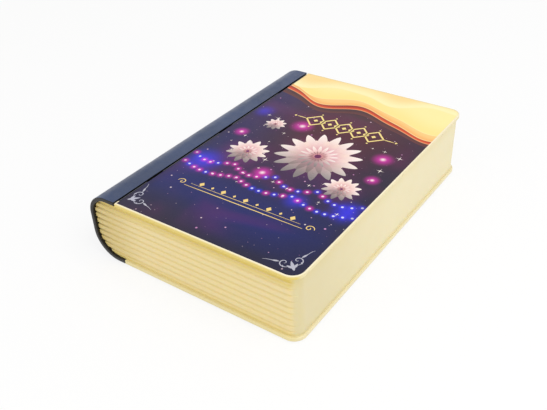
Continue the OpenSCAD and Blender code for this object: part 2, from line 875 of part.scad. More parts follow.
module diffuser_sheet() {
    color("#fbfbf4")
    difference() {
        span([diffuser_x0, -diffuser_y, z_ceiling - diffuser_t], [diffuser_x1, diffuser_y, z_ceiling]);
        for (p = diffuser_pegs)
            translate([p[0], p[1], z_ceiling - diffuser_t - past])
                cylinder(h = diffuser_t + 2 * past, d = diffuser_peg_d + 2 * magnet_play);
    }
}

// ---------- control board and ports ----------

module control_board() {
    color("#2f6b45")
    difference() {
        span([ctrl_x0, ctrl_y0, z_ctrl], [ctrl_x1, ctrl_y1, z_ctrl_top]);
        for (p = ctrl_posts)
            translate([p[0], p[1], z_ctrl - past])
                cylinder(h = pcb_t + 2 * past, d = small_screw_d + 2 * screw_play);
    }
}

module control_board_screws() {
    color("#8f949c")
    for (p = ctrl_posts)
        translate([p[0], p[1], z_ctrl_top]) pan_screw(small_screw_d, small_screw_l - 1.4);
}

// Charger chip, lamp driver, coil, capacitors and the lead sockets
module board_chips() {
    color("#222428")
    translate([ctrl_x0, ctrl_y0, z_ctrl_top]) {
        translate([ctrl_w / 4, ctrl_l * 0.3, 0]) cube([chip_w, chip_w * 0.8, chip_h]);
        translate([ctrl_w * 0.56, ctrl_l * 0.4, 0]) cube([chip_w * 0.8, chip_w * 0.8, chip_h * 0.8]);
        translate([ctrl_w / 3, ctrl_l * 0.56, 0]) cylinder(h = coil_h, d = coil_d);
        for (i = [0 : 3])
            translate([ctrl_w * (0.53 + 0.08 * i), ctrl_l * 0.65, 0])
                cube([chip_w / 3, chip_w / 5, chip_h / 2]);
        for (x = [battery_socket_x, led_socket_x])
            translate([x - socket_w / 2, socket_inset, 0]) cube([socket_w, socket_w * 0.8, socket_h]);
    }
}

module usb_socket() {
    y1 = block_y - 0.6;
    shell_t = 0.3;
    color("#b4b8be")
    translate([usb_x, y1, z_usb]) rotate([90, 0, 0]) {
        difference() {
            linear_extrude(usb_l) pill(usb_w, usb_h);
            translate([0, 0, -past]) linear_extrude(usb_l - 1 + past)
                pill(usb_w - 2 * shell_t, usb_h - 2 * shell_t);
        }
        translate([-3.3, -0.35, 0.4]) cube([6.6, 0.7, usb_l - 1]);
    }
}

// Flat shape with round ends
module pill(w, h) {
    square([w - h, h], center = true);
    for (side = [-1, 1])
        translate([side * (w - h) / 2, 0]) circle(h / 2);
}

module charge_led() {
    color("#f3f3f3")
    translate([lamp_x - 1.2, room_y - flange_t - 4.6, z_ctrl_top]) cube([2.4, 2, 2.6]);
}

module light_pipe() {
    y0 = room_y - flange_t - 2.5;
    color("#e9f4f8")
    translate([lamp_x, block_y - 0.1, z_ctrl_top + 1.4]) rotate([90, 0, 0])
        cylinder(h = block_y - 0.1 - y0, d = pipe_d);
}

module port_plate() {
    slot_w = knob_w + slide_travel + 2 * knob_play;
    color("#23263a")
    difference() {
        union() {
            span([port_x - port_w / 2, room_y - eps, port_z - port_h / 2],
                [port_x + port_w / 2, block_y, port_z + port_h / 2]);
            span([port_x - port_w / 2 - flange_w, room_y - flange_t, port_z - port_h / 2 - flange_w],
                [port_x + port_w / 2 + flange_w, room_y, port_z + port_h / 2 + flange_w]);
        }
        translate([usb_x, block_y + past, z_usb]) rotate([90, 0, 0])
            linear_extrude(wall_t + flange_t + 2 * past) pill(usb_w + 0.4, usb_h + 0.4);
        translate([lamp_x, block_y + past, z_ctrl_top + 1.4]) rotate([90, 0, 0])
            cylinder(h = wall_t + flange_t + 2 * past, d = pipe_d + 2 * magnet_play);
        span([switch_x - slot_w / 2, room_y - flange_t - past, z_knob - knob_h / 2 - knob_play],
            [switch_x + slot_w / 2, block_y + past, z_knob + knob_h / 2 + knob_play]);
    }
}

module switch_body() {
    slot_w = knob_w + slide_travel + 2 * knob_play;
    color("#30343a")
    difference() {
        span([switch_x - switch_w / 2, switch_y0, z_ctrl_top],
            [switch_x + switch_w / 2, switch_y0 + switch_d, z_ctrl_top + switch_h]);
        span([switch_x - slot_w / 2, switch_y0 + switch_d - knob_tail - knob_play,
                z_knob - knob_h / 2 - knob_play],
            [switch_x + slot_w / 2, switch_y0 + switch_d + past, z_knob + knob_h / 2 + knob_play]);
    }
}

module switch_knob() {
    x0 = switch_x - (knob_w + slide_travel) / 2;
    color("#e8e2cc")
    span([x0, switch_y0 + switch_d - knob_tail, z_knob - knob_h / 2],
        [x0 + knob_w, block_y + knob_reach, z_knob + knob_h / 2]);
}

// ---------- battery ----------

module battery_cell() {
    color("#3f78b5")
    translate([cell_x, cell_y1, cell_z]) rotate([90, 0, 0]) cylinder(h = cell_l, d = cell_d);
}

module battery_holder() {
    color("#26282c")
    difference() {
        union() {
            intersection() {
                translate([cell_x, holder_y1, cell_z]) rotate([90, 0, 0])
                    cylinder(h = holder_y1 - holder_y0, r = cradle_r);
                span([cell_x - cradle_r, holder_y0, z_floor], [cell_x + cradle_r, holder_y1, cell_z]);
            }
            span([low_round_x + 0.5, holder_y0, z_floor],
                [cell_x + cradle_r, holder_y1, cell_z - cradle_r + 4]);
        }
        translate([cell_x, holder_y1 - holder_end, cell_z]) rotate([90, 0, 0])
            cylinder(h = holder_y1 - holder_y0 - 2 * holder_end, r = cell_r + cell_play);
        for (y = holder_screw_ys)
            translate([holder_screw_x, y, z_base]) cylinder(h = holder_screw_l + 0.4, d = small_screw_d);
    }
}

module battery_contacts() {
    color("#c9ccd0")
    for (y = [holder_y0 + holder_end, holder_y1 - holder_end - contact_t])
        translate([cell_x - contact_w / 2, y, cell_z - contact_h]) cube([contact_w, contact_t, contact_h]);
    color("#c9ccd0")
    for (y = [cell_y0, cell_y1 + contact_spring])
        translate([cell_x, y, cell_z - contact_h / 2]) rotate([90, 0, 0])
            cylinder(h = contact_spring, d = contact_d);
}

module holder_screws() {
    color("#8f949c")
    for (y = holder_screw_ys)
        translate([holder_screw_x, y, z_base + head_sink]) countersunk_screw(small_screw_d, holder_screw_l);
}

// ---------- leads ----------

module battery_lead() {
    z_wire = cell_z - contact_h + 3;
    color("#c0392b")
    for (k = [-1, 1]) {
        from_x = cell_x + 3 + k;
        to_x = ctrl_x0 + battery_socket_x + k;
        turn_y = holder_y1 + 4 - k;
        wire([
            [from_x, holder_y1 - eps, z_wire],
            [from_x, turn_y, z_wire],
            [to_x, turn_y, z_wire],
            [to_x, turn_y, z_socket],
            [to_x, ctrl_y0 + socket_inset + eps, z_socket]
        ]);
    }
}

module led_lead() {
    x = ctrl_x0 + led_socket_x;
    color("#e8e2cc")
    for (k = [-1, 1])
        wire([
            [x + k, ctrl_y0 + socket_inset + eps, z_socket],
            [x + k, ctrl_y0 - 3, z_socket],
            [x + k, ctrl_y0 - 3, z_led + eps]
        ], 1);
}

module button_lead() {
    x = button_pcb_x0 + 2;
    y = ctrl_y0 + 8;
    color("#3a3f46")
    for (k = [0 : 2])
        wire([[x, y + 1.5 * k, z_ctrl_top - eps], [x, y + 1.5 * k, z_button_pcb + eps]], 1);
}

// ---------- feet and case screws ----------

module rubber_feet() {
    color("#3c3f44")
    for (p = foot_posts)
        translate([p[0], p[1], 0]) cylinder(h = z_base + foot_recess, d = foot_d);
}

module case_screws() {
    color("#8f949c")
    for (p = case_posts)
        translate([p[0], p[1], z_base + head_sink]) countersunk_screw(case_screw_d, case_screw_l);
}

module spine_screws() {
    color("#8f949c")
    for (y = spine_screw_ys)
        translate([spine_screw_x, y, z_base + head_sink]) countersunk_screw(case_screw_d, case_screw_l);
}

base_board();
page_block();
spine_shell();
cover_board();
cover_panel();
cover_liner();
cover_rail();
hinge_leaves();
hinge_pin();
hinge_screws();
cover_magnets();
catch_magnets();
rest_pads();
diffuser_sheet();
reflector_sheet();
led_board();
leds();
led_board_screws();
control_board();
control_board_screws();
board_chips();
usb_socket();
charge_led();
light_pipe();
port_plate();
switch_body();
switch_knob();
mode_button();
dimmer_button();
button_board();
button_board_screws();
tact_switches();
reed_switch();
battery_cell();
battery_holder();
battery_contacts();
holder_screws();
battery_lead();
led_lead();
button_lead();
rubber_feet();
case_screws();
spine_screws();
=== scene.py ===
"""Looks of the folding book lamp: printed cover, opal page block, its working parts and the studio."""

import itertools
import math
import random

import bmesh
import bpy
from bpy.props import (
    FloatProperty,
    FloatVectorProperty,
    IntProperty,
    PointerProperty,
)
from mathutils import Matrix, Vector


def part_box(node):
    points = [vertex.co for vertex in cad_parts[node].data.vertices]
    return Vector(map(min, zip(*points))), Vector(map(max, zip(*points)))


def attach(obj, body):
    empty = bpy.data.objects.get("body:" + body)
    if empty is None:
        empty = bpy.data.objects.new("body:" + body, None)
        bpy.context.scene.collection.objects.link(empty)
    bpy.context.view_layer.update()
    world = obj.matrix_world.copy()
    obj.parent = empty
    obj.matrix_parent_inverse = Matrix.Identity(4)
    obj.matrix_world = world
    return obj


bl_info = {
    "name": "Folding book lamp looks",
    "version": (1, 0, 0),
    "blender": (4, 5, 0),
    "location": "3D View > Sidebar > Book Lamp",
    "description": "Dresses the packed book lamp with its print, plastics, metals and studio",
    "category": "Object",
}

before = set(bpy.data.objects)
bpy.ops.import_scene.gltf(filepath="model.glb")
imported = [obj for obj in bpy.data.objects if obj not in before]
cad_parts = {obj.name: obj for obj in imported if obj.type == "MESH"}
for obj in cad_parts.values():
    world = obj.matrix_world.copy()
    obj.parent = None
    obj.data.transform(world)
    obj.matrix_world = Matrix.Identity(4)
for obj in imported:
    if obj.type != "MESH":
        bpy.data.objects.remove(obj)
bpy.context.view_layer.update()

MM = 0.001

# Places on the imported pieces, in millimetres of the lamp's own frame
PANEL_LOW, PANEL_HIGH = (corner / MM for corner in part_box("cover_panel"))
PANEL_MID = (PANEL_LOW + PANEL_HIGH) / 2
PANEL_TOP = PANEL_HIGH.z
PICTURE_MIDDLE = (PANEL_MID.x, PANEL_MID.y, 0.0)
BLOCK_LOW, BLOCK_HIGH = (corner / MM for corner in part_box("page_block"))
BLOCK_MID = (BLOCK_LOW + BLOCK_HIGH) / 2
DECK_TOP = BLOCK_HIGH.z
COVER_LOW, COVER_TOP = (corner.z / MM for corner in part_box("cover_board"))
SPINE_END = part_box("spine_shell")[1].y / MM

# Corners at the fore-edge and the deck's window, in millimetres
BOARD_CORNER = 6.0
BLOCK_CORNER = 5.2
WINDOW_INSET = 2.0
WINDOW_CORNER = 6.0
WINDOW_LINE = 0.5

# Edge softening, in millimetres and degrees; a reach of OPEN_REACH leaves an outline open on that axis
WELD_GAP = 0.002
FLAT_ANGLE = 0.3
SHARP_EDGE = 60.0
CREASE = 35.0
OUTLINE_SLACK = 0.03
OPEN_REACH = 1000.0


def paint(red, green, blue):
    """A colour given in 0-255 steps as a painter would mix it, turned to linear light."""
    shares = [step / 255 for step in (red, green, blue)]
    return tuple(s / 12.92 if s <= 0.04045 else ((s + 0.055) / 1.055) ** 2.4 for s in shares)


# ---------------------------------------------------------------- node wiring


class Wiring:
    """Adds and joins nodes in one tree; a value may be a plain number, a tuple or another node's output."""

    def __init__(self, tree):
        self.tree = tree

    def put(self, socket, value):
        if isinstance(value, bpy.types.NodeSocket):
            self.tree.links.new(value, socket)
        elif hasattr(value, "__len__") and len(value) == 3 and socket.type == "RGBA":
            socket.default_value = (*value, 1.0)
        else:
            socket.default_value = value

    def add(self, kind, inputs=None, **settings):
        node = self.tree.nodes.new(kind)
        for key, value in settings.items():
            setattr(node, key, value)
        for key, value in (inputs or {}).items():
            self.put(node.inputs[key], value)
        return node

    def calc(self, operation, first, second=0.0, third=0.0):
        node = self.add("ShaderNodeMath", operation=operation)
        for index, value in enumerate((first, second, third)):
            self.put(node.inputs[index], value)
        return node.outputs[0]

    def times(self, product, *others):
        """The product of all the values."""
        for value in others:
            product = self.calc("MULTIPLY", product, value)
        return product

    def vector(self, operation, first, second=(0.0, 0.0, 0.0), scale=1.0):
        node = self.add("ShaderNodeVectorMath", operation=operation)
        self.put(node.inputs[0], first)
        if operation == "SCALE":
            self.put(node.inputs[3], scale)
        else:
            self.put(node.inputs[1], second)
        return node.outputs["Value" if operation == "LENGTH" else "Vector"]

    def rescale(self, value, low, high, to_low=0.0, to_high=1.0, smooth=True):
        node = self.add("ShaderNodeMapRange", interpolation_type="SMOOTHSTEP" if smooth else "LINEAR")
        for index, entry in enumerate((value, low, high, to_low, to_high)):
            self.put(node.inputs[index], entry)
        return node.outputs[0]

    def fall(self, value, low, high):
        """1 up to low, 0 from high on, and a soft slope between them."""
        return self.rescale(value, low, high, 1.0, 0.0)

    def between(self, share, low, high):
        """A straight slope from low to high as share goes from 0 to 1."""
        return self.rescale(share, 0.0, 1.0, low, high, smooth=False)

    def mix(self, share, under, over, how="MIX"):
        node = self.add("ShaderNodeMix", data_type="RGBA", blend_type=how, clamp_factor=True)
        self.put(node.inputs[0], share)
        self.put(node.inputs[6], under)
        self.put(node.inputs[7], over)
        return node.outputs[2]

    def tint(self, under, over, *masks, how="MIX"):
        """Lays one colour over another, as strongly as the product of the masks."""
        return self.mix(self.times(*masks), under, over, how)

    def ramp(self, value, stops):
        node = self.add("ShaderNodeValToRGB", {"Fac": value})
        band = node.color_ramp
        while len(band.elements) < len(stops):
            band.elements.new(1.0)
        for element, (place, colour) in zip(band.elements, stops):
            element.position = place
            element.color = (*colour, 1.0)
        return node.outputs["Color"]

    def noise(self, place, scale, detail=2.0, rough=0.5, distort=0.0):
        inputs = {
            "Vector": place,
            "Scale": scale,
            "Detail": detail,
            "Roughness": rough,
            "Distortion": distort,
        }
        return self.add("ShaderNodeTexNoise", inputs).outputs["Fac"]

    def split(self, place):
        return self.add("ShaderNodeSeparateXYZ", {"Vector": place}).outputs

    def join(self, x=0.0, y=0.0, z=0.0):
        return self.add("ShaderNodeCombineXYZ", {"X": x, "Y": y, "Z": z}).outputs["Vector"]

    def level(self, place):
        """The same place with its height taken out."""
        return self.vector("MULTIPLY", place, (1.0, 1.0, 0.0))

    def spot(self):
        """Place on the object in millimetres, which rides with the piece."""
        place = self.add("ShaderNodeTexCoord").outputs["Object"]
        return self.vector("SCALE", place, scale=1 / MM)

    def facing(self):
        """The way the surface faces on the object itself, which rides with the piece."""
        return self.split(self.add("ShaderNodeTexCoord").outputs["Normal"])

    def group(self, name, inputs):
        node = self.add("ShaderNodeGroup", node_tree=bpy.data.node_groups[name])
        for key, value in inputs.items():
            self.put(node.inputs[key], value)
        return node.outputs

    def bump(self, height, depth):
        """The normal over a height whose full step is depth millimetres."""
        return self.add("ShaderNodeBump", {"Height": height, "Distance": depth * MM}).outputs["Normal"]


def new_group(name, inputs, outputs):
    """An empty shader node group with named sockets; returns its wiring, inputs and output sockets."""
    tree = bpy.data.node_groups.new(name, "ShaderNodeTree")
    for socket, kind, value in inputs:
        made = tree.interface.new_socket(name=socket, in_out="INPUT", socket_type="NodeSocket" + kind)
        if value is not None:
            made.default_value = value
    for socket in outputs:
        tree.interface.new_socket(name=socket, in_out="OUTPUT", socket_type="NodeSocketFloat")
    wires = Wiring(tree)
    return wires, wires.add("NodeGroupInput").outputs, wires.add("NodeGroupOutput").inputs


# ---------------------------------------------------------------- shared effects

PLACE = ("Place", "Vector", None)


def build_grain():
    """Fine moulded texture: a pebbled mask and the height to bump it with."""
    wires, given, out = new_group(
        "Grain",
        [
            PLACE,
            ("Size", "Float", 0.4),
            ("Contrast", "Float", 1.0),
        ],
        ["Mask", "Height"],
    )
    scale = wires.calc("DIVIDE", 1.0, given["Size"])
    cells = wires.add("ShaderNodeTexVoronoi", {"Vector": given["Place"], "Scale": scale})
    pebble = wires.fall(cells.outputs["Distance"], 0.1, 0.7)
    speck = wires.noise(given["Place"], wires.times(scale, 0.6), 3.0, 0.6)
    both = wires.calc("MULTIPLY_ADD", pebble, 0.5, wires.times(speck, 0.5))
    wires.put(out["Mask"], wires.rescale(speck, 0.35, 0.65))
    wires.put(out["Height"], wires.times(both, given["Contrast"]))


def build_drift():
    """Slow change of colour and smudges of gloss over a surface."""
    wires, given, out = new_group(
        "Drift",
        [
            PLACE,
            ("Size", "Float", 20.0),
            ("Smudge Size", "Float", 6.0),
        ],
        ["Drift", "Smudge"],
    )
    slow = wires.noise(given["Place"], wires.calc("DIVIDE", 1.0, given["Size"]), 3.0, 0.5)
    smudge = wires.noise(given["Place"], wires.calc("DIVIDE", 1.0, given["Smudge Size"]), 5.0, 0.62, 0.4)
    wires.put(out["Drift"], wires.rescale(slow, 0.3, 0.7))
    wires.put(out["Smudge"], wires.rescale(smudge, 0.35, 0.7))


def build_soft_spot():
    """A round glow that fades from its centre."""
    wires, given, out = new_group(
        "Soft Spot",
        [
            PLACE,
            ("Centre", "Vector", None),
            ("Radius", "Float", 10.0),
            ("Fall", "Float", 1.6),
        ],
        ["Mask"],
    )
    away = wires.level(wires.vector("SUBTRACT", given["Place"], given["Centre"]))
    share = wires.calc("DIVIDE", wires.vector("LENGTH", away), given["Radius"])
    wires.put(out["Mask"], wires.calc("POWER", wires.fall(share, 0.0, 1.0), given["Fall"]))


def build_wave_edge():
    """A flowing boundary across the sheet; the mask is 1 beyond it, and Rise is the distance past it."""
    wires, given, out = new_group(
        "Wave Edge",
        [
            PLACE,
            ("Level", "Float", 40.0),
            ("Lean", "Float", 0.0),
            ("Swell", "Float", 5.0),
            ("Length", "Float", 60.0),
            ("Phase", "Float", 0.0),
            ("Softness", "Float", 0.4),
        ],
        ["Mask", "Rise"],
    )
    at = wires.split(given["Place"])
    turn = wires.times(wires.calc("DIVIDE", at["X"], given["Length"]), 2 * math.pi)
    slow = wires.calc("SINE", wires.calc("ADD", turn, given["Phase"]))
    quick = wires.calc("SINE", wires.calc("MULTIPLY_ADD", turn, 1.9, wires.times(given["Phase"], 2.3)))
    swing = wires.calc("MULTIPLY_ADD", quick, 0.28, slow)
    level = wires.calc("MULTIPLY_ADD", swing, given["Swell"], given["Level"])
    level = wires.calc("MULTIPLY_ADD", at["X"], given["Lean"], level)
    rise = wires.calc("SUBTRACT", at["Y"], level)
    wires.put(out["Mask"], wires.rescale(rise, 0.0, given["Softness"]))
    wires.put(out["Rise"], rise)


def build_light_string():
    """A sagging string of small lights: bulbs, warm and cool halos, the thread and a tone for each bulb.

    A halo reaches past its own stretch of the string, so the two bulbs beside it are worked out too.
    """
    wires, given, out = new_group(
        "Light String",
        [
            PLACE,
            ("Level", "Float", -30.0),
            ("Sag", "Float", 5.0),
            ("Span", "Float", 22.0),
            ("Spacing", "Float", 2.4),
            ("Bulb", "Float", 0.45),
            ("Halo", "Float", 2.2),
            ("Shift", "Float", 0.0),
        ],
        ["Bulb", "Warm", "Cool", "Thread", "Tone"],
    )
    at = wires.split(given["Place"])
    along = wires.calc("ADD", at["X"], given["Shift"])
    here = wires.calc("FLOOR", wires.calc("DIVIDE", along, given["Spacing"]))

    def string_at(run):
        arc = wires.calc("SINE", wires.times(wires.calc("DIVIDE", run, given["Span"]), math.pi))
        sag = wires.times(wires.calc("ABSOLUTE", arc), given["Sag"])
        return wires.calc("SUBTRACT", given["Level"], sag)

    halos = {"Warm": 0.0, "Cool": 0.0}
    for step in (-1.0, 0.0, 1.0):
        cell = wires.calc("ADD", here, step)
        centre = wires.times(wires.calc("ADD", cell, 0.5), given["Spacing"])
        side = wires.calc("SUBTRACT", along, centre)
        rise = wires.calc("SUBTRACT", at["Y"], string_at(centre))
        distance = wires.vector("LENGTH", wires.join(side, rise))
        tone = wires.add("ShaderNodeTexWhiteNoise", {"W": cell}, noise_dimensions="1D").outputs["Value"]
        warm = wires.calc("GREATER_THAN", tone, 0.5)
        halo = wires.calc("POWER", wires.fall(wires.calc("DIVIDE", distance, given["Halo"]), 0.0, 1.0), 2.0)
        for key, share in (("Warm", warm), ("Cool", wires.calc("SUBTRACT", 1.0, warm))):
            halos[key] = wires.calc("MAXIMUM", halos[key], wires.times(halo, share))
        if step == 0.0:
            wires.put(out["Bulb"], wires.fall(wires.calc("DIVIDE", distance, given["Bulb"]), 0.75, 1.15))
            wires.put(out["Tone"], tone)
    for key, halo in halos.items():
        wires.put(out[key], halo)
    off_thread = wires.calc("ABSOLUTE", wires.calc("SUBTRACT", at["Y"], string_at(along)))
    wires.put(out["Thread"], wires.fall(off_thread, 0.06, 0.22))


def build_star_field():
    """Scattered points of light of uneven size."""
    wires, given, out = new_group(
        "Star Field",
        [
            PLACE,
            ("Spacing", "Float", 5.0),
            ("Size", "Float", 0.3),
            ("Share", "Float", 0.6),
        ],
        ["Mask", "Tone"],
    )
    inputs = {"Vector": wires.level(given["Place"]), "Scale": wires.calc("DIVIDE", 1.0, given["Spacing"])}
    cells = wires.add("ShaderNodeTexVoronoi", inputs, voronoi_dimensions="2D")
    draw = wires.add("ShaderNodeSeparateColor", {"Color": cells.outputs["Color"]}).outputs
    distance = wires.times(cells.outputs["Distance"], given["Spacing"])
    size = wires.times(given["Size"], wires.calc("ADD", draw["Green"], 0.35))
    point = wires.fall(wires.calc("DIVIDE", distance, size), 0.3, 1.0)
    kept = wires.calc("LESS_THAN", draw["Red"], given["Share"])
    wires.put(out["Mask"], wires.times(point, kept))
    wires.put(out["Tone"], draw["Blue"])


def build_ring_mark():
    """A plain ring and a dot about a centre, for the marks on the buttons."""
    wires, given, out = new_group(
        "Ring Mark",
        [
            PLACE,
            ("Centre", "Vector", None),
            ("Radius", "Float", 2.0),
            ("Width", "Float", 0.3),
            ("Dot", "Float", 0.4),
        ],
        ["Ring", "Dot"],
    )
    away = wires.level(wires.vector("SUBTRACT", given["Place"], given["Centre"]))
    distance = wires.vector("LENGTH", away)
    from_ring = wires.calc("ABSOLUTE", wires.calc("SUBTRACT", distance, given["Radius"]))
    wires.put(out["Ring"], wires.fall(wires.calc("DIVIDE", from_ring, given["Width"]), 0.4, 0.6))
    wires.put(out["Dot"], wires.fall(wires.calc("DIVIDE", distance, given["Dot"]), 0.9, 1.05))


GROUP_BUILDERS = (
    build_grain,
    build_drift,
    build_soft_spot,
    build_wave_edge,
    build_light_string,
    build_star_field,
    build_ring_mark,
)


# ---------------------------------------------------------------- finishes


def new_material(name):
    material = bpy.data.materials.new(name)
    material.use_nodes = True
    material.node_tree.nodes.clear()
    return material, Wiring(material.node_tree)


def begin(name, drift, smudge, grain, contrast=1.0, origin=None):
    """A new material and what most finishes start from: the place, its slow changes and its fine grain."""
    material, wires = new_material(name)
    place = wires.spot()
    if origin is not None:
        place = wires.vector("SUBTRACT", place, origin)
    change = wires.group("Drift", {"Place": place, "Size": drift, "Smudge Size": smudge})
    fine = wires.group("Grain", {"Place": place, "Size": grain, "Contrast": contrast})
    return material, wires, place, change, fine


def shade(wires, inputs):
    """The material's own surface shader and its output."""
    surface = wires.add("ShaderNodeBsdfPrincipled", inputs)
    wires.add("ShaderNodeOutputMaterial", {"Surface": surface.outputs["BSDF"]})


def finish(name, colour, other, gloss, grain=0.4, depth=0.01, drift=20.0, smudge=6.0, spread=0.08, **plain):
    """A moulded, plated or painted finish: colour that drifts, smudged gloss and a fine grain.

    gloss is the middle of its roughness and spread the change to either side; grain, depth, drift and
    smudge are sizes in millimetres; plain holds further values of the surface shader.
    """
    material, wires, _, change, fine = begin(name, drift, smudge, grain)
    body = wires.mix(change["Drift"], colour, other)
    body = wires.tint(body, other, fine["Mask"], 0.12)
    inputs = {
        "Base Color": body,
        "Roughness": wires.between(change["Smudge"], gloss - spread, gloss + spread),
        "Normal": wires.bump(fine["Height"], depth),
    }
    inputs.update({key.replace("_", " "): value for key, value in plain.items()})
    shade(wires, inputs)
    return material


def edge_marker(name, centre, reach, radius, from_z):
    """Geometry nodes that smooth a piece and mark the sharp edges on its rounded outline for softening.

    The outline is a box of half sizes reach about centre, swollen by radius, in millimetres.
    """
    tree = bpy.data.node_groups.new(name, "GeometryNodeTree")
    for way in ("INPUT", "OUTPUT"):
        tree.interface.new_socket(name="Geometry", in_out=way, socket_type="NodeSocketGeometry")
    wires = Wiring(tree)
    given = wires.add("NodeGroupInput").outputs["Geometry"]
    angle = wires.add("GeometryNodeInputMeshEdgeAngle").outputs["Unsigned Angle"]
    place = wires.vector("SCALE", wires.add("GeometryNodeInputPosition").outputs["Position"], scale=1 / MM)
    away = wires.vector("ABSOLUTE", wires.vector("SUBTRACT", place, centre))
    past = wires.vector("MAXIMUM", wires.vector("SUBTRACT", away, reach), (0.0, 0.0, 0.0))
    outside = wires.calc("SUBTRACT", wires.vector("LENGTH", past), radius)
    on_outline = wires.calc("GREATER_THAN", outside, -OUTLINE_SLACK)
    sharp = wires.calc("GREATER_THAN", angle, math.radians(SHARP_EDGE))
    high = wires.calc("GREATER_THAN", wires.split(place)["Z"], from_z)
    marked = wires.times(on_outline, sharp, high)
    creased = wires.calc("GREATER_THAN", angle, math.radians(CREASE))
    inputs = {"Geometry": given, "Shade Smooth": True}
    faces = wires.add("GeometryNodeSetShadeSmooth", inputs, domain="FACE").outputs["Geometry"]
    inputs = {"Geometry": faces, "Selection": creased, "Shade Smooth": False}
    edges = wires.add("GeometryNodeSetShadeSmooth", inputs, domain="EDGE").outputs["Geometry"]
    inputs = {"Geometry": edges, "Name": "bevel_weight_edge", "Value": marked}
    stored = wires.add("GeometryNodeStoreNamedAttribute", inputs, domain="EDGE", data_type="FLOAT")
    wires.add("NodeGroupOutput", {"Geometry": stored.outputs["Geometry"]})
    return tree


def soften(piece, width, segments, centre=(0.0, 0.0, 0.0), reach=(0.0, 0.0, 0.0), radius=0.0, from_z=-1.0):
    """Rounds the sharp edges on a piece's outline, or all its sharp edges where no outline is given."""
    weld = piece.modifiers.new("weld", "WELD")
    weld.merge_threshold = WELD_GAP * MM
    flatten = piece.modifiers.new("whole_faces", "DECIMATE")
    flatten.decimate_type = "DISSOLVE"
    flatten.angle_limit = math.radians(FLAT_ANGLE)
    marker = piece.modifiers.new("marked_edges", "NODES")
    marker.node_group = edge_marker(f"{piece.name}_edges", centre, reach, radius, from_z)
    round_off = piece.modifiers.new("soft_edge", "BEVEL")
    round_off.width = width * MM
    round_off.segments = segments
    round_off.limit_method = "WEIGHT"
    even = piece.modifiers.new("even_shading", "WEIGHTED_NORMAL")
    even.mode = "FACE_AREA"
    even.keep_sharp = True


def dress(node, material, bevel=0.0, segments=2, **outline):
    """Gives a CAD node its finish, and a softened edge in millimetres where the real one has one."""
    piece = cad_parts[node]
    piece.data.materials.clear()
    piece.data.materials.append(material)
    if bevel:
        soften(piece, bevel, segments, **outline)


def rounded_outline(node, corner):
    """The plan of a board whose fore-edge corners are round, as soften() takes it."""
    low, high = (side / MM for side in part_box(node))
    return {
        "centre": (low.x, 0.0, 0.0),
        "reach": (high.x - low.x - corner, high.y - corner, OPEN_REACH),
        "radius": corner,
    }


# ---------------------------------------------------------------- sizes and colours


def colour_property(name, description, value):
    return FloatVectorProperty(
        name=name, description=description, default=value, subtype="COLOR", size=3, min=0.0, max=1.0
    )


def length_property(name, description, value):
    """A length that is given in millimetres and kept in metres."""
    return FloatProperty(
        name=name, description=description, default=value * MM, min=0.0, precision=5, unit="LENGTH"
    )


class LampCaseSettings(bpy.types.PropertyGroup):
    """Colours and edges of the boards, the page block and the spine."""

    page: colour_property("Page block", "Pale cream of the moulded page edges", paint(234, 215, 162))
    # painted light: the smooth fore-edge is paler cream, as if lit from that side; on the deck it is only a
    # second tone
    page_fore: colour_property("Fore-edge", "Paler cream of the smooth fore-edge", paint(234, 222, 178))
    # painted shade on the fore-edge towards the tail
    page_corner: colour_property("Fore-edge at the tail", "Duller cream by the tail", paint(214, 200, 150))
    # painted shade down in the grooves; as streaks and drift on the pages and boards it is only a second tone
    page_deep: colour_property("Groove", "Warmer cream down in the grooves", paint(224, 206, 124))
    # painted shade on the pages beside the spine
    page_spine: colour_property("By the spine", "Darker cream beside the spine", paint(198, 174, 92))
    deck: colour_property("Deck", "Pale cream of the lit face under the cover", paint(240, 232, 206))
    deck_window: colour_property("Deck window", "Milky white over the diffuser", paint(248, 245, 234))
    # painted shadow, brown, in the grooves by the spine
    page_gap: colour_property("Groove by the spine", "Brown in the grooves by the spine", paint(112, 92, 46))
    page_shadow: colour_property("Under the cover", "Deep yellow under the rim", paint(218, 192, 78))
    board: colour_property("Board", "Cream of the cover board", paint(234, 216, 148))
    board_base: colour_property("Base board", "Paler cream of the base board", paint(230, 216, 164))
    # painted shade low on the cover's edge, under its rim
    board_low: colour_property("Cover underside", "Deep yellow low on the cover's edge", paint(226, 200, 94))
    # painted light along the boards' fore-edge
    board_fore: colour_property("Board fore-edge", "Cream along the boards' fore-edge", paint(234, 222, 180))
    # painted highlight on the cover's upper rim
    board_rim: colour_property("Board rim", "Pale upper edge of the cover", paint(250, 240, 214))
    spine: colour_property("Spine", "Slate blue of the spine", paint(50, 69, 108))
    spine_dark: colour_property("Spine shade", "Darker slate in the spine's grain", paint(36, 44, 66))
    # near black end faces, and painted shade on the spine's inside
    spine_cut: colour_property("Spine ends", "Near black of its end faces and its inside", paint(24, 20, 18))
    board_edge: length_property("Board edge", "Rounding of the boards' outer edges", 0.35)
    page_edge: length_property("Page edge", "Rounding of the page block's upper edge", 0.18)
    spine_edge: length_property("Spine edge", "Rounding of the spine's end edges", 0.3)


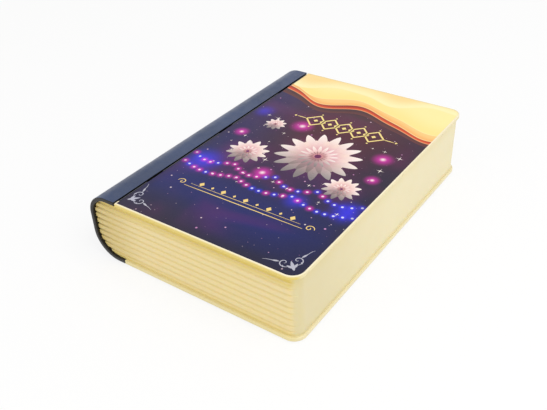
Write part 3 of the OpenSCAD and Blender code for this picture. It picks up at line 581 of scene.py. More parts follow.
class LampPrintSettings(bpy.types.PropertyGroup):
    """Colours and sizes of the picture on the cover."""

    night: colour_property("Night", "Navy of the ground", paint(20, 30, 100))
    slate: colour_property("Slate", "Grey blue by the tail", paint(26, 26, 60))
    indigo: colour_property("Indigo", "Dark blue above the navy", paint(28, 28, 84))
    violet: colour_property("Violet", "Purple in the middle", paint(36, 24, 46))
    maroon: colour_property("Maroon", "Warm dark towards the head", paint(76, 16, 34))
    umber: colour_property("Umber", "Brown dark by the head", paint(58, 32, 42))
    dusk: colour_property("Dusk", "Dull violet by the tail and the spine", paint(38, 30, 46))
    gold: colour_property("Gold", "Pale gold at the head", paint(255, 232, 146))
    amber: colour_property("Amber", "Orange of the bands", paint(252, 178, 100))
    ember: colour_property("Ember", "Red orange of the bands", paint(236, 84, 26))
    glow: colour_property("Glow", "Magenta light", paint(214, 30, 168))
    sky_glow: colour_property("Blue glow", "Blue light", paint(44, 40, 226))
    star_pink: colour_property("Pink stars", "The other tone of the stars", paint(236, 150, 220))
    foil: colour_property("Gold foil", "Line work", paint(248, 214, 130))
    silver: colour_property("Silver foil", "Corner scrolls", paint(182, 182, 200))
    petal: colour_property("Petal", "Pale petals", paint(253, 240, 234))
    petal_heart: colour_property("Petal heart", "Salmon pink at the heart of a petal", paint(226, 138, 150))
    bloom: length_property("Bloom radius", "Outer petals of the large flower", 21.0)
    petals: IntProperty(name="Petals", description="Petals in a ring", default=16, min=8, max=40)


class LampStageSettings(bpy.types.PropertyGroup):
    """Camera, lamps and floor of the studio."""

    lens: FloatProperty(name="Lens", description="Focal length", default=45.9, min=1.0, unit="CAMERA")
    sky: FloatProperty(name="Sky", description="Strength of the even light", default=0.72, min=0.0)
    key: FloatProperty(name="Key", description="Power of the large lamp", default=3.1, min=0.0, unit="POWER")
    fill: FloatProperty(
        name="Fill",
        description="Power of the small lamp",
        default=1.0,
        min=0.0,
        unit="POWER",
    )
    shadow: FloatProperty(
        name="Shadow",
        description="Depth of the floor's shadow",
        default=0.2,
        min=0.0,
        max=1.0,
        subtype="FACTOR",
    )


# ---------------------------------------------------------------- case

# The page block's grooves, in millimetres, and the shares of a pitch where a groove's painted shade fades
GROOVE_PITCH = 3.15
GROOVE_FIRST = 4.6
GROOVE_FADE = (0.08, 0.24)

# Where each change of the page block's colour fades, in millimetres from the side that it belongs to
DECK_FADE = (0.1, 0.2)
RIM_FADE = (1.6, 6.5)
FOOT_FADE = (0.0, 3.0)
FORE_FADE = (1.4, 4.0)
SPINE_FADE = (4.0, 30.0)
GAP_FADE = (1.0, 10.0)
TAIL_FADE_END = 10.0

# The boards' changes of colour, in millimetres below the cover's top and past the page block
EDGE_FADE = (0.4, 1.0)
LEDGE_INSIDE = 2.0
LEDGE_OUTSIDE = 0.2

# The dark ends of the spine: how far from its end they fade, and the round of its end edges
END_FADE = (0.12, 0.3)
SPINE_ROUND = 1.0


def window_mask(wires, place):
    """The part of the deck inside the window's line, which shows paler through the thin plastic."""
    low, high = (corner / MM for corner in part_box("diffuser_sheet"))
    border = WINDOW_INSET + WINDOW_CORNER
    straight = (high - low) / 2 - Vector((border, border, 0.0))
    away = wires.vector("ABSOLUTE", wires.vector("SUBTRACT", place, (low + high) / 2))
    past = wires.vector("MAXIMUM", wires.vector("SUBTRACT", away, straight), (0.0, 0.0, 0.0))
    distance = wires.vector("LENGTH", wires.level(past))
    return wires.fall(distance, WINDOW_CORNER - WINDOW_LINE, WINDOW_CORNER)


def page_material(look):
    """Opal cream plastic, with painted shade that makes it warmer in its grooves, by the spine, by the base
    and under the cover's rim, and painted light on its paler fore-edge.
    """
    material, wires, place, change, fine = begin("page_plastic_ridged", drift=26.0, smudge=9.0, grain=0.25)
    at = wires.split(place)
    from_fore = wires.calc("SUBTRACT", BLOCK_HIGH.x, at["X"])
    from_spine = wires.calc("SUBTRACT", at["X"], BLOCK_LOW.x)
    from_deck = wires.calc("SUBTRACT", DECK_TOP, at["Z"])
    from_foot = wires.calc("SUBTRACT", at["Z"], BLOCK_LOW.z)
    side = wires.rescale(from_deck, *DECK_FADE)
    ribbed = wires.rescale(from_fore, *FORE_FADE)

    # grooves, and streaks that run along the pages
    turns = wires.calc("DIVIDE", wires.calc("SUBTRACT", at["Z"], GROOVE_FIRST), GROOVE_PITCH)
    groove = wires.times(wires.fall(wires.calc("PINGPONG", turns, 0.5), *GROOVE_FADE), side, ribbed)
    streak_place = wires.vector("MULTIPLY", place, (0.05, 0.05, 1.6))
    streak = wires.rescale(wires.noise(streak_place, 1.0, 4.0, 0.6), 0.3, 0.7)

    # shade by the cover's rim, the spine, the base and the tail
    upright = wires.fall(wires.facing()["Z"], 0.3, 0.9)
    rim_strength = wires.calc("MULTIPLY_ADD", ribbed, 0.85, 0.15)
    by_rim = wires.times(wires.fall(from_deck, *RIM_FADE), rim_strength, upright)
    by_spine = wires.fall(from_spine, *SPINE_FADE)
    by_gap = wires.fall(from_spine, *GAP_FADE)
    by_foot = wires.fall(from_foot, *FOOT_FADE)
    by_tail = wires.fall(at["Y"], BLOCK_LOW.y, TAIL_FADE_END)

    body = wires.tint(look.page, look.board, change["Drift"], 0.25)
    body = wires.tint(body, look.page_deep, streak, 0.1)
    # painted light: the smooth fore-edge is paler cream, with painted shade towards the tail
    body = wires.mix(ribbed, wires.tint(look.page_fore, look.page_corner, by_tail, 0.7), body)
    # painted shade down in the grooves
    body = wires.tint(body, look.page_deep, groove, 0.3)
    body = wires.tint(body, look.page_shadow, by_rim, side, 0.9)
    # painted shade beside the spine
    body = wires.tint(body, look.page_spine, by_spine, side, 0.6)
    # painted shadow, brown, in the grooves by the spine
    body = wires.tint(body, look.page_gap, by_gap, groove, 0.45)
    body = wires.tint(body, look.page_shadow, by_foot, ribbed, 0.35)
    deck = wires.tint(look.deck, look.page_fore, change["Drift"], 0.15)
    deck = wires.tint(deck, look.deck_window, window_mask(wires, place), 0.8)
    inputs = {
        "Base Color": wires.mix(side, deck, body),
        "Roughness": wires.between(change["Smudge"], 0.3, 0.42),
        "Normal": wires.bump(fine["Height"], 0.004),
        "Subsurface Weight": 0.25,
        "Subsurface Radius": (1.0, 0.7, 0.35),
        "Subsurface Scale": 1.2 * MM,
        "Coat Weight": 0.15,
        "Coat Roughness": 0.2,
    }
    shade(wires, inputs)
    return material


def board_material(look):
    """Cream board: a painted highlight on its pale upper rim, painted shade in the deep yellow below it, and
    painted light along the fore-edge in the pages' paler cream there.
    """
    material, wires, place, change, fine = begin("cream_board_gloss", drift=30.0, smudge=8.0, grain=0.3)
    at = wires.split(place)
    facing = wires.facing()
    on_cover = wires.calc("GREATER_THAN", at["Z"], COVER_LOW - 1.0)
    on_base = wires.calc("SUBTRACT", 1.0, on_cover)
    low = wires.rescale(wires.calc("SUBTRACT", COVER_TOP, at["Z"]), *EDGE_FADE)
    flat = wires.rescale(wires.calc("ABSOLUTE", facing["Z"]), 0.25, 0.9)
    ledge = wires.rescale(at["X"], BLOCK_HIGH.x - LEDGE_INSIDE, BLOCK_HIGH.x + LEDGE_OUTSIDE)
    by_fore = wires.calc("MAXIMUM", wires.rescale(facing["X"], 0.7, 0.98), wires.times(ledge, on_base))
    body = wires.mix(on_cover, look.board_base, look.board)
    # painted shade: the cover's edge turns deep yellow below its rim
    body = wires.tint(body, look.board_low, low, on_cover, 0.85)
    # painted light: faces towards the fore-edge, and the base's ledge there, take the paler cream of the lit
    # fore-edge
    body = wires.tint(body, look.board_fore, by_fore, 0.9)
    # painted highlight: the cover's flat faces and rounded rim near white
    body = wires.tint(body, look.board_rim, flat, on_cover, 0.85)
    body = wires.tint(body, look.page_deep, change["Drift"], 0.12)
    inputs = {
        "Base Color": body,
        "Roughness": wires.between(change["Smudge"], 0.26, 0.36),
        "Normal": wires.bump(fine["Height"], 0.003),
        "Specular IOR Level": 0.4,
        "Coat Weight": 0.12,
        "Coat Roughness": 0.16,
    }
    shade(wires, inputs)
    return material


def spine_material(look):
    """Slate blue moulding with a mottled, leather-like grain, near black on its end faces, and near black
    painted shade on its inside.
    """
    start = begin("spine_slate", drift=34.0, smudge=5.0, grain=0.55, contrast=1.2)
    material, wires, place, change, fine = start
    folds = wires.add("ShaderNodeTexVoronoi", {"Vector": place, "Scale": 0.9}, feature="DISTANCE_TO_EDGE")
    crease = wires.fall(folds.outputs["Distance"], 0.0, 0.12)
    at = wires.split(place)
    facing = wires.facing()
    from_end = wires.calc("SUBTRACT", SPINE_END, wires.calc("ABSOLUTE", at["Y"]))
    end_face = wires.fall(from_end, *END_FADE)
    # painted shade: the inside of the shell, facing the page block, is made near black like its end faces
    outwards = wires.times(facing["X"], wires.calc("SUBTRACT", at["X"], BLOCK_MID.x))
    outwards = wires.calc("MULTIPLY_ADD", facing["Z"], wires.calc("SUBTRACT", at["Z"], BLOCK_MID.z), outwards)
    inner_shade = wires.fall(outwards, -2.0, 0.0)
    body = wires.tint(look.spine, look.spine_dark, change["Drift"], 0.4)
    body = wires.tint(body, look.spine_dark, crease, 0.25)
    body = wires.mix(wires.calc("MAXIMUM", end_face, inner_shade), body, look.spine_cut)
    height = wires.calc("SUBTRACT", fine["Height"], wires.times(crease, 0.5))
    inputs = {
        "Base Color": body,
        "Roughness": wires.between(change["Smudge"], 0.3, 0.46),
        "Normal": wires.bump(height, 0.02),
        "Specular IOR Level": 0.3,
        "Coat Weight": 0.08,
        "Coat Roughness": 0.3,
    }
    shade(wires, inputs)
    return material


class LAMP_OT_case(bpy.types.Operator):
    """Finish the boards, the page block and the spine"""

    bl_idname = "lamp.case"
    bl_label = "Boards, pages and spine"

    def execute(self, context):
        look = context.scene.lamp_case
        board = board_material(look)
        for node in ("cover_board", "base_board"):
            plan = rounded_outline("base_board", BOARD_CORNER)
            dress(node, board, look.board_edge / MM, segments=3, **plan)
        plan = rounded_outline("page_block", BLOCK_CORNER)
        plan["from_z"] = DECK_TOP - 0.1
        dress("page_block", page_material(look), look.page_edge / MM, segments=3, **plan)
        ends = {"reach": (OPEN_REACH, SPINE_END - SPINE_ROUND, OPEN_REACH), "radius": SPINE_ROUND}
        dress("spine_shell", spine_material(look), look.spine_edge / MM, segments=3, **ends)
        rail = finish(
            "rail_slate_dark",
            paint(26, 28, 46),
            paint(20, 22, 36),
            gloss=0.4,
            grain=0.5,
            depth=0.012,
        )
        dress("cover_rail", rail)
        return {"FINISHED"}


# ---------------------------------------------------------------- printed sheet

# All places on the picture are in millimetres from its middle, with +Y towards the head

# The evening ground's washes: where each begins and ends
GROUND_END = 77.0
SPINE_WASH = (-46.0, -6.0)
FORE_WASH = (16.0, 46.0)
TAIL_WASH = (-72.0, -46.0)
DUSK_WASH = (-30.0, 16.0)
DARK_EDGE = (46.0, 76.8)
HEAD_SHADE = paint(50, 32, 38)
EDGE_SHADE = paint(34, 26, 40)

# Lights on the ground: x, y, radius and strength
POOLS = (
    (7.0, -2.0, 34.0, 0.16),
    (-24.0, -14.0, 20.0, 0.2),
    (30.0, -18.0, 16.0, 0.16),
)
GLINTS = (
    (-15.0, 22.0, 8.0, 0.95),
    (34.0, 14.0, 7.0, 0.95),
    (-38.0, 2.0, 5.5, 0.95),
    (-7.0, -24.0, 7.0, 0.95),
    (38.0, -4.0, 5.0, 0.95),
)
BLUE_WASHES = (
    (-37.0, -29.0, 15.0, 0.85),
    (18.0, -35.0, 9.0, 0.6),
    (41.0, -31.0, 12.0, 0.9),
    (-41.0, 26.0, 9.0, 0.5),
)

# Stars: spacing, size, share that is kept and strength
STARS = (
    (9.0, 0.5, 0.5, 0.8),
    (4.2, 0.22, 0.35, 0.45),
)

# Strings of small lights: level, sag and span of each, and what both share
STRINGS = (
    (-24.0, 5.0, 23.0),
    (-33.0, 4.0, 30.6),
)
STRING_LIGHTS = {"Spacing": 3.7, "Bulb": 0.62, "Halo": 3.4, "Shift": 46.0}

# Flowing bands: level, lean, swell, length and phase of the edge, the colours that the band runs from
# and to, the depth that it takes for that, and the strength of the lit line on its edge
BANDS = (
    (43.0, -0.10, 4.0, 60.0, 0.60, paint(96, 44, 44), paint(60, 34, 42), 5.0, 0.0),
    (47.0, -0.12, 4.4, 61.0, 0.75, "ember", paint(156, 42, 22), 4.0, 0.35),
    (50.5, -0.13, 4.8, 62.0, 0.92, "amber", paint(255, 206, 130), 5.0, 0.6),
    (55.5, -0.11, 4.6, 66.0, 1.25, "gold", paint(255, 240, 166), 16.0, 0.7),
    (66.5, 0.06, 3.6, 52.0, 3.30, paint(255, 246, 186), paint(255, 222, 150), 12.0, 0.6),
)
BAND_LINE = paint(255, 236, 170)
BAND_LINE_OFF = 0.45


def soft_spot(wires, place, x, y, radius, fall=1.6):
    inputs = {"Place": place, "Centre": (x, y, 0.0), "Radius": radius, "Fall": fall}
    return wires.group("Soft Spot", inputs)["Mask"]


def evening_ground(wires, place, look):
    """The dark ground, from slate at the tail through navy, violet and maroon to umber at the head."""
    at = wires.split(place)
    climb = wires.rescale(at["Y"], -GROUND_END, GROUND_END, smooth=False)
    haze = wires.noise(wires.vector("MULTIPLY", place, (0.022, 0.04, 1.0)), 1.0, 3.0, 0.45, 0.4)
    climb = wires.calc("MULTIPLY_ADD", wires.calc("SUBTRACT", haze, 0.5), 0.18, climb)
    stops = (
        (0.0, look.slate),
        (0.13, look.night),
        (0.26, look.indigo),
        (0.42, look.violet),
        (0.68, look.maroon),
        (0.85, look.umber),
        (1.0, HEAD_SHADE),
    )
    ground = wires.ramp(climb, stops)
    ground = wires.tint(ground, look.night, wires.fall(at["X"], *SPINE_WASH), 0.6)
    by_tail = wires.fall(at["Y"], *TAIL_WASH)
    ground = wires.tint(ground, look.dusk, by_tail, wires.fall(at["X"], *DUSK_WASH), 0.75)
    ground = wires.tint(ground, look.slate, wires.rescale(at["X"], *FORE_WASH), 0.5)
    return wires.tint(ground, look.glow, wires.rescale(haze, 0.45, 0.75), 0.06)


def add_lights(wires, place, look, ground):
    """Pools of light behind the flowers, small bright glints beside them, and washes of blue."""
    for x, y, radius, strength in POOLS:
        ground = wires.tint(ground, look.glow, soft_spot(wires, place, x, y, radius), strength, how="SCREEN")
    for x, y, radius, strength in GLINTS:
        halo = soft_spot(wires, place, x, y, radius, 1.3)
        ground = wires.tint(ground, look.glow, halo, strength, how="SCREEN")
        ground = wires.tint(ground, look.petal, soft_spot(wires, place, x, y, radius * 0.34), 0.9)
    for x, y, radius, strength in BLUE_WASHES:
        wash = soft_spot(wires, place, x, y, radius)
        ground = wires.tint(ground, look.sky_glow, wash, strength, how="SCREEN")
    return ground


def add_stars(wires, place, look, ground):
    for spacing, size, share, strength in STARS:
        inputs = {"Place": place, "Spacing": spacing, "Size": size, "Share": share}
        stars = wires.group("Star Field", inputs)
        tone = wires.mix(stars["Tone"], look.petal, look.star_pink)
        ground = wires.tint(ground, tone, stars["Mask"], strength)
    return ground


def add_strings(wires, place, look, ground):
    """Sagging strings of blue and magenta lights with their halos."""
    for level, sag, span in STRINGS:
        inputs = {"Place": place, "Level": level, "Sag": sag, "Span": span, **STRING_LIGHTS}
        string = wires.group("Light String", inputs)
        hue = wires.mix(wires.calc("GREATER_THAN", string["Tone"], 0.5), look.sky_glow, look.glow)
        ground = wires.tint(ground, look.sky_glow, string["Cool"], 0.95, how="SCREEN")
        ground = wires.tint(ground, look.glow, string["Warm"], 0.95, how="SCREEN")
        ground = wires.tint(ground, hue, string["Thread"], 0.3)
        ground = wires.mix(string["Bulb"], ground, wires.mix(0.7, hue, (1.0, 1.0, 1.0)))
    return ground


def darken_edges(wires, place, ground):
    at = wires.split(place)
    shares = [wires.calc("DIVIDE", at[key], end) for key, end in zip("XY", DARK_EDGE)]
    off_middle = wires.calc("MAXIMUM", *[wires.calc("ABSOLUTE", share) for share in shares])
    edge = wires.rescale(off_middle, 0.9, 1.0, 0.0, 0.35)
    return wires.mix(edge, ground, EDGE_SHADE)


def add_bands(wires, place, look, ground):
    """Flowing bands at the head, each with a lit lower edge."""
    for level, lean, swell, length, phase, low, high, depth, lit in BANDS:
        inputs = {
            "Place": place,
            "Level": level,
            "Lean": lean,
            "Swell": swell,
            "Length": length,
            "Phase": phase,
        }
        band = wires.group("Wave Edge", inputs)
        low = getattr(look, low) if isinstance(low, str) else low
        colour = wires.mix(wires.rescale(band["Rise"], 0.0, depth), low, high)
        ground = wires.mix(band["Mask"], ground, colour)
        off_line = wires.calc("ABSOLUTE", wires.calc("SUBTRACT", band["Rise"], BAND_LINE_OFF))
        ground = wires.tint(ground, BAND_LINE, wires.fall(off_line, 0.12, 0.5), lit)
    return ground


def print_material(look):
    """The printed sheet: evening ground, lights, stars and flowing bands, under gloss film."""
    start = begin("printed_cover", drift=40.0, smudge=12.0, grain=0.3, origin=PICTURE_MIDDLE)
    material, wires, place, change, fine = start
    ground = evening_ground(wires, place, look)
    ground = add_lights(wires, place, look, ground)
    ground = add_stars(wires, place, look, ground)
    ground = add_strings(wires, place, look, ground)
    ground = darken_edges(wires, place, ground)
    ground = add_bands(wires, place, look, ground)
    inputs = {
        "Base Color": wires.tint(ground, look.silver, fine["Mask"], 0.008),
        "Roughness": wires.between(change["Smudge"], 0.28, 0.4),
        "Normal": wires.bump(fine["Height"], 0.002),
        "Specular IOR Level": 0.16,
        "Coat Weight": 0.04,
        "Coat Roughness": 0.2,
    }
    shade(wires, inputs)
    return material


class LAMP_OT_picture(bpy.types.Operator):
    """Print the cover's sheet"""

    bl_idname = "lamp.picture"
    bl_label = "Printed sheet"

    def execute(self, context):
        dress("cover_panel", print_material(context.scene.lamp_print))
        return {"FINISHED"}


# ---------------------------------------------------------------- raised ink

# Height of a layer of ink, of thicker foil, and of the small step between strokes that cross
INK_STEP = 0.006
FOIL_STEP = 0.009
STROKE_STEP = 0.0012
STROKE_LEVELS = 10
THINNEST_HALF = 0.02
SHORTEST = 1e-9

# Flowers: place, size as a share of the large one, and how many petals fewer a ring has
BLOOMS = (
    ("bloom_large", (7.0, 1.0), 1.0, 0),
    ("bloom_left", (-24.0, -12.0), 0.5, 4),
    ("bloom_right", (30.0, -17.0), 0.42, 4),
    ("bloom_upper", (-28.0, 17.0), 0.27, 6),
)
# Rings of petals, outermost first: outer and inner radius and petal width as shares, and a turn in petals
BLOOM_RINGS = (
    (1.0, 0.252, 0.612, 0.0),
    (0.72, 0.168, 0.578, 0.5),
    (0.46, 0.072, 0.51, 0.0),
)
RING_RISE = INK_STEP * 0.9
MID_RING = 1
MID_HEART = paint(206, 96, 140)
MID_TIP = paint(250, 222, 214)

# Gold chain towards the head
CHAIN_X = 4.0
CHAIN_Y = 30.5
CHAIN_LINKS = 5
CHAIN_PITCH = 8.2
LINK_HALF = 5.4
CHAIN_BEAD_RISE = 7.0
CHAIN_TAIL = 5.5

# Gold double rule near the tail, with its beads and end curls
RULE_Y = -50.0
RULE_HALF = 31.0
RULE_LINES = ((0.0, 0.24), (2.2, 0.14))
BEADS = 9
BEAD_PITCH = 6.0
BEAD_RISE = 4.0
BEAD_SIZES = (2.6, 1.5)
CURL_RADIUS = 2.4
CURL_RISE = 1.6

# Corner scrolls, in millimetres off a corner's two edges, along the tail first: x, y, angle, length, width
SCROLL_LEAVES = (
    (4.7, 4.3, 0.06, 2.9, 1.1),
    (11.4, 5.1, -0.32, 3.1, 0.85),
    (8.2, 2.9, 0.9, 1.3, 0.55),
)
SCROLL_BUD = (3.4, 3.4, math.pi / 4, 5.9, 1.5)
SPINE_SIDE_SHIFT = (-1.6, 1.2)

# Sparkles: the field that they are scattered over, and what they keep clear of
SPARKLES = 26
SPARKLE_FIELD = ((-40, 41), (-40, 34))
SPARKLE_SIZES = (0.8, 1.0, 1.3, 1.9)
SPARKLE_WAIST = 0.16
SPARKLE_GAP = 6.0
BLOOM_CLEAR = 23.0
CHAIN_CLEAR = (30.0, 8.5)


def resampled(points, width_at, steps):
    """Points and half widths along a polyline, evenly spaced."""
    lengths = [0.0]
    for first, second in zip(points, points[1:]):
        lengths.append(lengths[-1] + (second - first).length)
    made = []
    index = 0
    for step in range(steps + 1):
        target = lengths[-1] * step / steps
        while index < len(points) - 2 and lengths[index + 1] < target:
            index += 1
        share = (target - lengths[index]) / max(lengths[index + 1] - lengths[index], SHORTEST)
        made.append((points[index].lerp(points[index + 1], share), width_at(step / steps)))
    return made


def add_strip(mesh, line, low, high):
    """A closed flat ribbon from (point, half width) pairs."""
    rows = []
    for index, (point, half) in enumerate(line):
        ahead = line[min(index + 1, len(line) - 1)][0] - line[max(index - 1, 0)][0]
        across = Vector((-ahead.y, ahead.x)).normalized() * max(half, THINNEST_HALF)
        corners = []
        for side, height in ((1, low), (-1, low), (-1, high), (1, high)):
            spot = point + across * side
            corners.append(mesh.verts.new((spot.x * MM, spot.y * MM, height * MM)))
        rows.append(corners)
    for first, second in zip(rows, rows[1:]):
        for index in range(4):
            after = (index + 1) % 4
            mesh.faces.new((first[index], first[after], second[after], second[index]))
    mesh.faces.new(list(reversed(rows[0])))
    mesh.faces.new(rows[-1])


def add_plate(mesh, outline, low, high):
    """A closed flat plate with the given outline."""
    bottom = [mesh.verts.new((p.x * MM, p.y * MM, low * MM)) for p in outline]
    top = [mesh.verts.new((p.x * MM, p.y * MM, high * MM)) for p in outline]
    mesh.faces.new(list(reversed(bottom)))
    mesh.faces.new(top)
    for index in range(len(outline)):
        after = (index + 1) % len(outline)
        mesh.faces.new((bottom[index], bottom[after], top[after], top[index]))


def ink_piece(name, material):
    """An empty mesh piece and its bmesh, ready to be filled by settle()."""
    piece = bpy.data.objects.new(name, bpy.data.meshes.new(name))
    bpy.context.scene.collection.objects.link(piece)
    piece.data.materials.append(material)
    return piece, bmesh.new()


def settle(piece, mesh):
    """Writes the bmesh and lets the piece ride on the cover."""
    bmesh.ops.recalc_face_normals(mesh, faces=mesh.faces)
    mesh.to_mesh(piece.data)
    mesh.free()
    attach(piece, "cover")


def panel_point(x, y):
    return Vector((PANEL_MID.x + x, PANEL_MID.y + y))


def petal_outline(centre, angle, near, far, width, point=1.6, steps=14):
    """A leaf shape from radius near to radius far, widest past its middle."""
    ahead = Vector((math.cos(angle), math.sin(angle)))
    side = Vector((-ahead.y, ahead.x))
    left, right = [], []
    for step in range(steps + 1):
        share = step / steps
        half = width / 2 * math.sin(math.pi * share ** 0.8) ** (1 / point)
        rib = centre + ahead * (near + (far - near) * share)
        left.append(rib + side * half)
        right.append(rib - side * half)
    return right + list(reversed(left[1:-1]))


def spiral(centre, start, turns, outer, inner, hand, steps=40):
    """Points of a spiral that winds in towards its centre."""
    made = []
    for step in range(steps + 1):
        share = step / steps
        angle = start + hand * turns * 2 * math.pi * share
        radius = outer * (inner / outer) ** share
        made.append(centre + Vector((math.cos(angle), math.sin(angle))) * radius)
    return made


def sweep(first, handle_a, handle_b, last, steps=24):
    """Points of a cubic curve."""
    made = []
    for step in range(steps + 1):
        t = step / steps
        made.append(
            first * (1 - t) ** 3
            + handle_a * 3 * t * (1 - t) ** 2
            + handle_b * 3 * t * t * (1 - t)
            + last * t ** 3
        )
    return made


def ink_material(name, look, heart, tip, centre, radius, rough=0.3, metal=0.0, mist=0.0):
    """Printed or foil ink whose tone runs from a heart outwards, and sinks into mist on its tail side."""
    start = begin(name, drift=9.0, smudge=4.0, grain=0.2, origin=PICTURE_MIDDLE)
    material, wires, place, change, fine = start
    body = wires.mix(soft_spot(wires, place, *centre, radius, 1.0), tip, heart)
    body = wires.tint(body, look.gold, change["Drift"], 0.08)
    drop = wires.calc("SUBTRACT", centre[1], wires.split(place)["Y"])
    sunk = wires.rescale(drop, -0.25 * radius, 0.95 * radius, 0.0, mist)
    inputs = {
        "Base Color": wires.mix(sunk, body, look.violet),
        "Roughness": wires.between(change["Smudge"], rough - 0.06, rough + 0.08),
        "Metallic": metal,
        "Normal": wires.bump(fine["Height"], 0.002),
        "Specular IOR Level": 0.25,
        "Coat Weight": 0.05,
        "Coat Roughness": 0.2,
    }
    shade(wires, inputs)
    return material


class LAMP_OT_flowers(bpy.types.Operator):
    """Lay the flowers of pale petals on the sheet"""

    bl_idname = "lamp.flowers"
    bl_label = "Flowers"

    def execute(self, context):
        look = context.scene.lamp_print
        for (name, centre, share, fewer), (ring, shape) in itertools.product(BLOOMS, enumerate(BLOOM_RINGS)):
            far, near, width, turn = shape
            radius = look.bloom / MM * share
            count = look.petals - fewer
            heart, tip = (MID_HEART, MID_TIP) if ring == MID_RING else (look.petal_heart, look.petal)
            ink = ink_material(f"{name}_ink_{ring}", look, heart, tip, centre, radius * far, mist=0.8)
            piece, mesh = ink_piece(f"{name}_ring_{ring}", ink)
            middle = panel_point(*centre)
            low = PANEL_TOP + RING_RISE * ring
            petal_width = 2 * math.pi * radius * far * width / count
            for index in range(count):
                angle = (index + turn) * 2 * math.pi / count
                outline = petal_outline(middle, angle, radius * near, radius * far, petal_width)
                add_plate(mesh, outline, low, low + INK_STEP)
            settle(piece, mesh)
        return {"FINISHED"}


class LAMP_OT_gold_lines(bpy.types.Operator):
    """Lay the gold line work"""

    bl_idname = "lamp.gold_lines"
    bl_label = "Gold line work"

    def execute(self, context):
        look = context.scene.lamp_print
        foil = ink_material("gold_foil_lines", look, look.gold, look.foil, (0.0, 40.0), 60.0, metal=0.35)
        piece, mesh = ink_piece("gold_lines", foil)
        heights = (PANEL_TOP, PANEL_TOP + FOIL_STEP)

        def strip(points, half, taper=0.0, steps=40):
            def width_at(share):
                return half * (1 - taper + taper * math.sin(math.pi * share))

            add_strip(mesh, resampled(points, width_at, steps), *heights)

        def lozenge(x, y, wide, tall):
            middle = panel_point(x, y)
            right = Vector((wide / 2, 0))
            up = Vector((0, tall / 2))
            add_plate(mesh, [middle + right, middle + up, middle - right, middle - up], *heights)

        # interlaced chain towards the head
        for link in range(CHAIN_LINKS):
            x = CHAIN_X + (link - (CHAIN_LINKS - 1) / 2) * CHAIN_PITCH
            ways = ((1, 0), (0, 1), (-1, 0), (0, -1), (1, 0))
            strip([panel_point(x + LINK_HALF * i, CHAIN_Y + LINK_HALF * j) for i, j in ways], 0.42, steps=64)
            lozenge(x, CHAIN_Y, 2.6, 2.6)
            lozenge(x, CHAIN_Y + CHAIN_BEAD_RISE, 1.2, 1.2)
            lozenge(x, CHAIN_Y - CHAIN_BEAD_RISE, 1.2, 1.2)
        for hand in (-1, 1):
            tip = CHAIN_X + hand * ((CHAIN_LINKS - 1) / 2 * CHAIN_PITCH + LINK_HALF)
            strip([panel_point(tip, CHAIN_Y), panel_point(tip + hand * CHAIN_TAIL, CHAIN_Y)], 0.3, 0.6)
            lozenge(tip + hand * (CHAIN_TAIL + 1.1), CHAIN_Y, 1.6, 1.6)

        # thin double rule with beads near the tail
        for offset, half in RULE_LINES:
            reach = RULE_HALF - offset
            strip([panel_point(-reach, RULE_Y + offset), panel_point(reach, RULE_Y + offset)], half, 0.5, 60)
        for index in range(BEADS):
            size = BEAD_SIZES[index % 2]
            lozenge((index - (BEADS - 1) / 2) * BEAD_PITCH, RULE_Y + BEAD_RISE, size, size * 1.25)
        for hand in (-1, 1):
            centre = panel_point(hand * (RULE_HALF + CURL_RADIUS), RULE_Y + CURL_RISE)
            start = math.pi / 2 * (1 + hand) + math.pi
            strip(spiral(centre, start, 1.2, CURL_RADIUS, 0.5, hand, 36), 0.22, 0.3)
        settle(piece, mesh)
        return {"FINISHED"}


class LAMP_OT_corner_scrolls(bpy.types.Operator):
    """Lay the silver scrolls in the tail corners"""

    bl_idname = "lamp.corner_scrolls"
    bl_label = "Corner scrolls"

    def execute(self, context):
        look = context.scene.lamp_print
        foil = ink_material(
            "silver_foil_scrolls", look, look.silver, look.silver, (0.0, -70.0), 60.0, rough=0.28, metal=0.3
        )
        piece, mesh = ink_piece("corner_scrolls", foil)
        half = (PANEL_HIGH - PANEL_LOW) / 2
        levels = itertools.cycle(range(STROKE_LEVELS))
        volute = spiral(Vector((9.3, 5.6)), math.radians(204), 1.15, 3.1, 0.42, 1, 44)
        whisker = sweep(Vector((11.2, 5.2)), Vector((12.8, 4.0)), Vector((14.6, 4.7)), Vector((17.6, 3.0)))

        def placed(points, hand, turned):
            """From millimetres off the corner's two edges, along the tail first, to the panel's own."""
            across, along = (0.0, 0.0) if hand > 0 else SPINE_SIDE_SHIFT
            spots = [Vector((p.y, p.x)) if turned else p for p in points]
            return [panel_point(hand * (half.x - p.x - across), p.y - half.y + along) for p in spots]

        def heights():
            """Each stroke ends a little higher or lower than the last, so crossing ones share no face."""
            return PANEL_TOP, PANEL_TOP + FOIL_STEP + next(levels) * STROKE_STEP

        def lay(points, widest, hand, turned, fade=1.0, steps=44):
            def width_at(share):
                return widest * (0.3 + 0.7 * math.sin(math.pi * share ** fade) ** 0.7)

            add_strip(mesh, resampled(placed(points, hand, turned), width_at, steps), *heights())

        def leaf(shape, hand, turned):
            x, y, angle, length, width = shape
            outline = petal_outline(Vector((x, y)), angle, 0.0, length, width, 1.2, 12)
            add_plate(mesh, placed(outline, hand, turned), *heights())

        for hand in (-1, 1):
            for turned in (False, True):
                lay(volute, 0.22, hand, turned)
                lay(whisker, 0.15, hand, turned, fade=0.6)
                for shape in SCROLL_LEAVES:
                    leaf(shape, hand, turned)
            leaf(SCROLL_BUD, hand, False)
        settle(piece, mesh)
        return {"FINISHED"}


